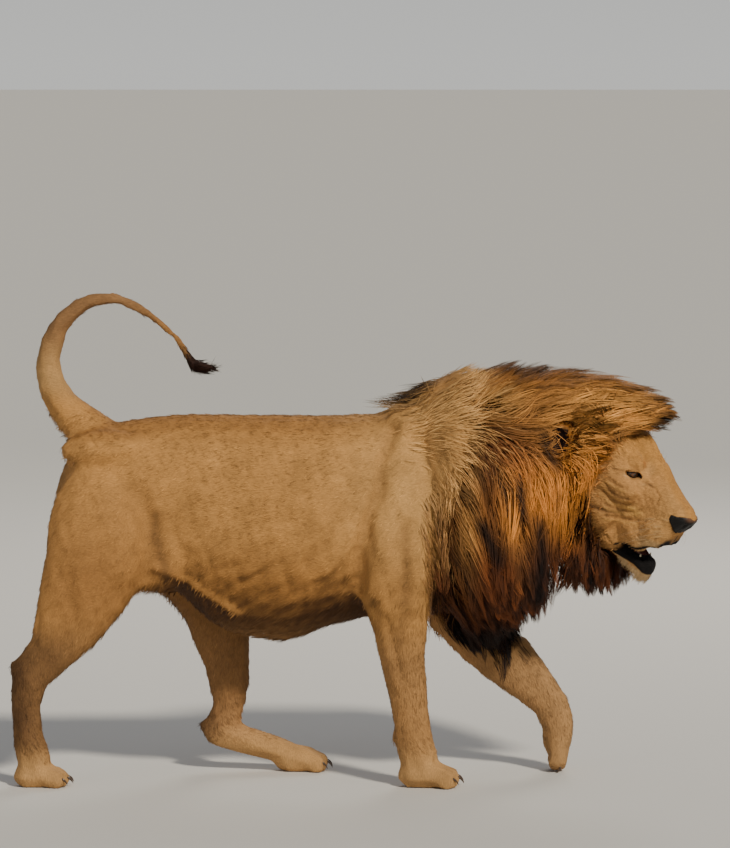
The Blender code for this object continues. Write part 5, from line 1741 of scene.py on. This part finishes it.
# ---------------------------------------------------------------- the lion
NOSE_BED = 0.01        # how deep the face's skin lies under the nose's leather
SEED = 12               # of all the hair


def build_body(material):
    """The body's skin as a piece, as the ground for hair, and how much of it the mane covers."""
    skin, outer, mane = build_body_skin()
    ground = Ground(skin)
    colour = body_colour(ground.points, ground.normals)
    # Under the mane the skin is painted nearly black, as shade between the locks.
    paint(skin, "Tint", blend(colour, (MANE_GAP_SHADE, ramp(mane, 0.7, 1.0))))
    paint(skin, "Down", ramp(-in_body(ground.points)[:, 2], -0.6, -0.42))
    piece_of("skin_body", skin, material, BODY_NODES)
    return ground, outer, mane


def build_face(material, eye):
    """The face's skin with its lids as a piece, the eyes, and the skin as the ground for hair."""
    face, lips, jaw = build_head_skin()
    ground, surface = Ground(face), surface_of(face)
    bed = NOSE_BED * ramp(leather_depth(on_face(ground.points)), 0.003, 0.008)
    parts = [(ground.points - ground.normals * bed[:, None], ground.faces)]
    tints = [face_colour(ground.points, lips)]
    for side in (-1, 1):
        points, faces, dark = build_lids(side, surface)
        parts.append((points, faces))
        tints.append(face_colour(points, dark))
        build_eye(side, eye)
    whole = mesh_of("face", *combined(parts))
    paint(whole, "Tint", np.vstack(tints))
    paint(whole, "Down", np.zeros(len(whole.vertices)))
    piece_of("skin_head", whole, material, FACE_NODES)
    return ground, surface, lips, jaw


def main():
    coat = coat_material("coat", 1.0, 4.0)
    fur, hair = hair_material("fur", 0.75, 0.5), hair_material("mane", 0.62, 0.7)
    wet = wet_material("leather", 700, 0.6, 0.55, 0.05)
    tongue = wet_material("tongue", 500, 0.5, 0.42, 0.3)
    enamel = wet_material("tooth", 300, 0.1, 0.28, 0.4)
    draw = np.random.default_rng(SEED)
    body, outer, mane = build_body(coat)
    face, surface, lips, jaw = build_face(coat, eye_material())
    build_nose(face.points, face.normals, face.faces, wet)
    build_tongue(tongue)
    build_teeth(enamel)
    build_claws(enamel)
    ears = Ground(build_ears(coat))

    unwrap = Unwrap(*joined(BODY_NODES + FACE_NODES + EAR_NODES))
    low, high = (np.array(corner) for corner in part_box("mane_neck"))
    high = np.maximum(high, np.array(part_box("mane_crown")[1]))
    field = Field(surface_of(outer), low - FIELD_MARGIN, high + FIELD_MARGIN, FIELD_STEP)
    coat_pieces("mane", build_mane(Ground(outer), field, unwrap, draw), hair, MANE_NODES)
    fringe = [build_shoulder_hair(body, mane, field, unwrap, draw),
              build_cheek_hair(face, field, unwrap, draw),
              build_ear_hair(ears, unwrap, draw)]
    coat_pieces("fringe", fringe, hair)
    coat_pieces("fur_body", [build_body_fur(body, mane, unwrap, draw)], fur)
    coat_pieces("fur_face", [build_face_fur(face, lips, unwrap, draw)], fur)
    tufts = [build_chin_hair(face, jaw, lips, unwrap, draw), build_tail_tuft(body, unwrap, draw)]
    coat_pieces("tufts", tufts, fur)
    build_whiskers(surface, fur, unwrap, draw)
    build_stage()
    build_camera()


main()
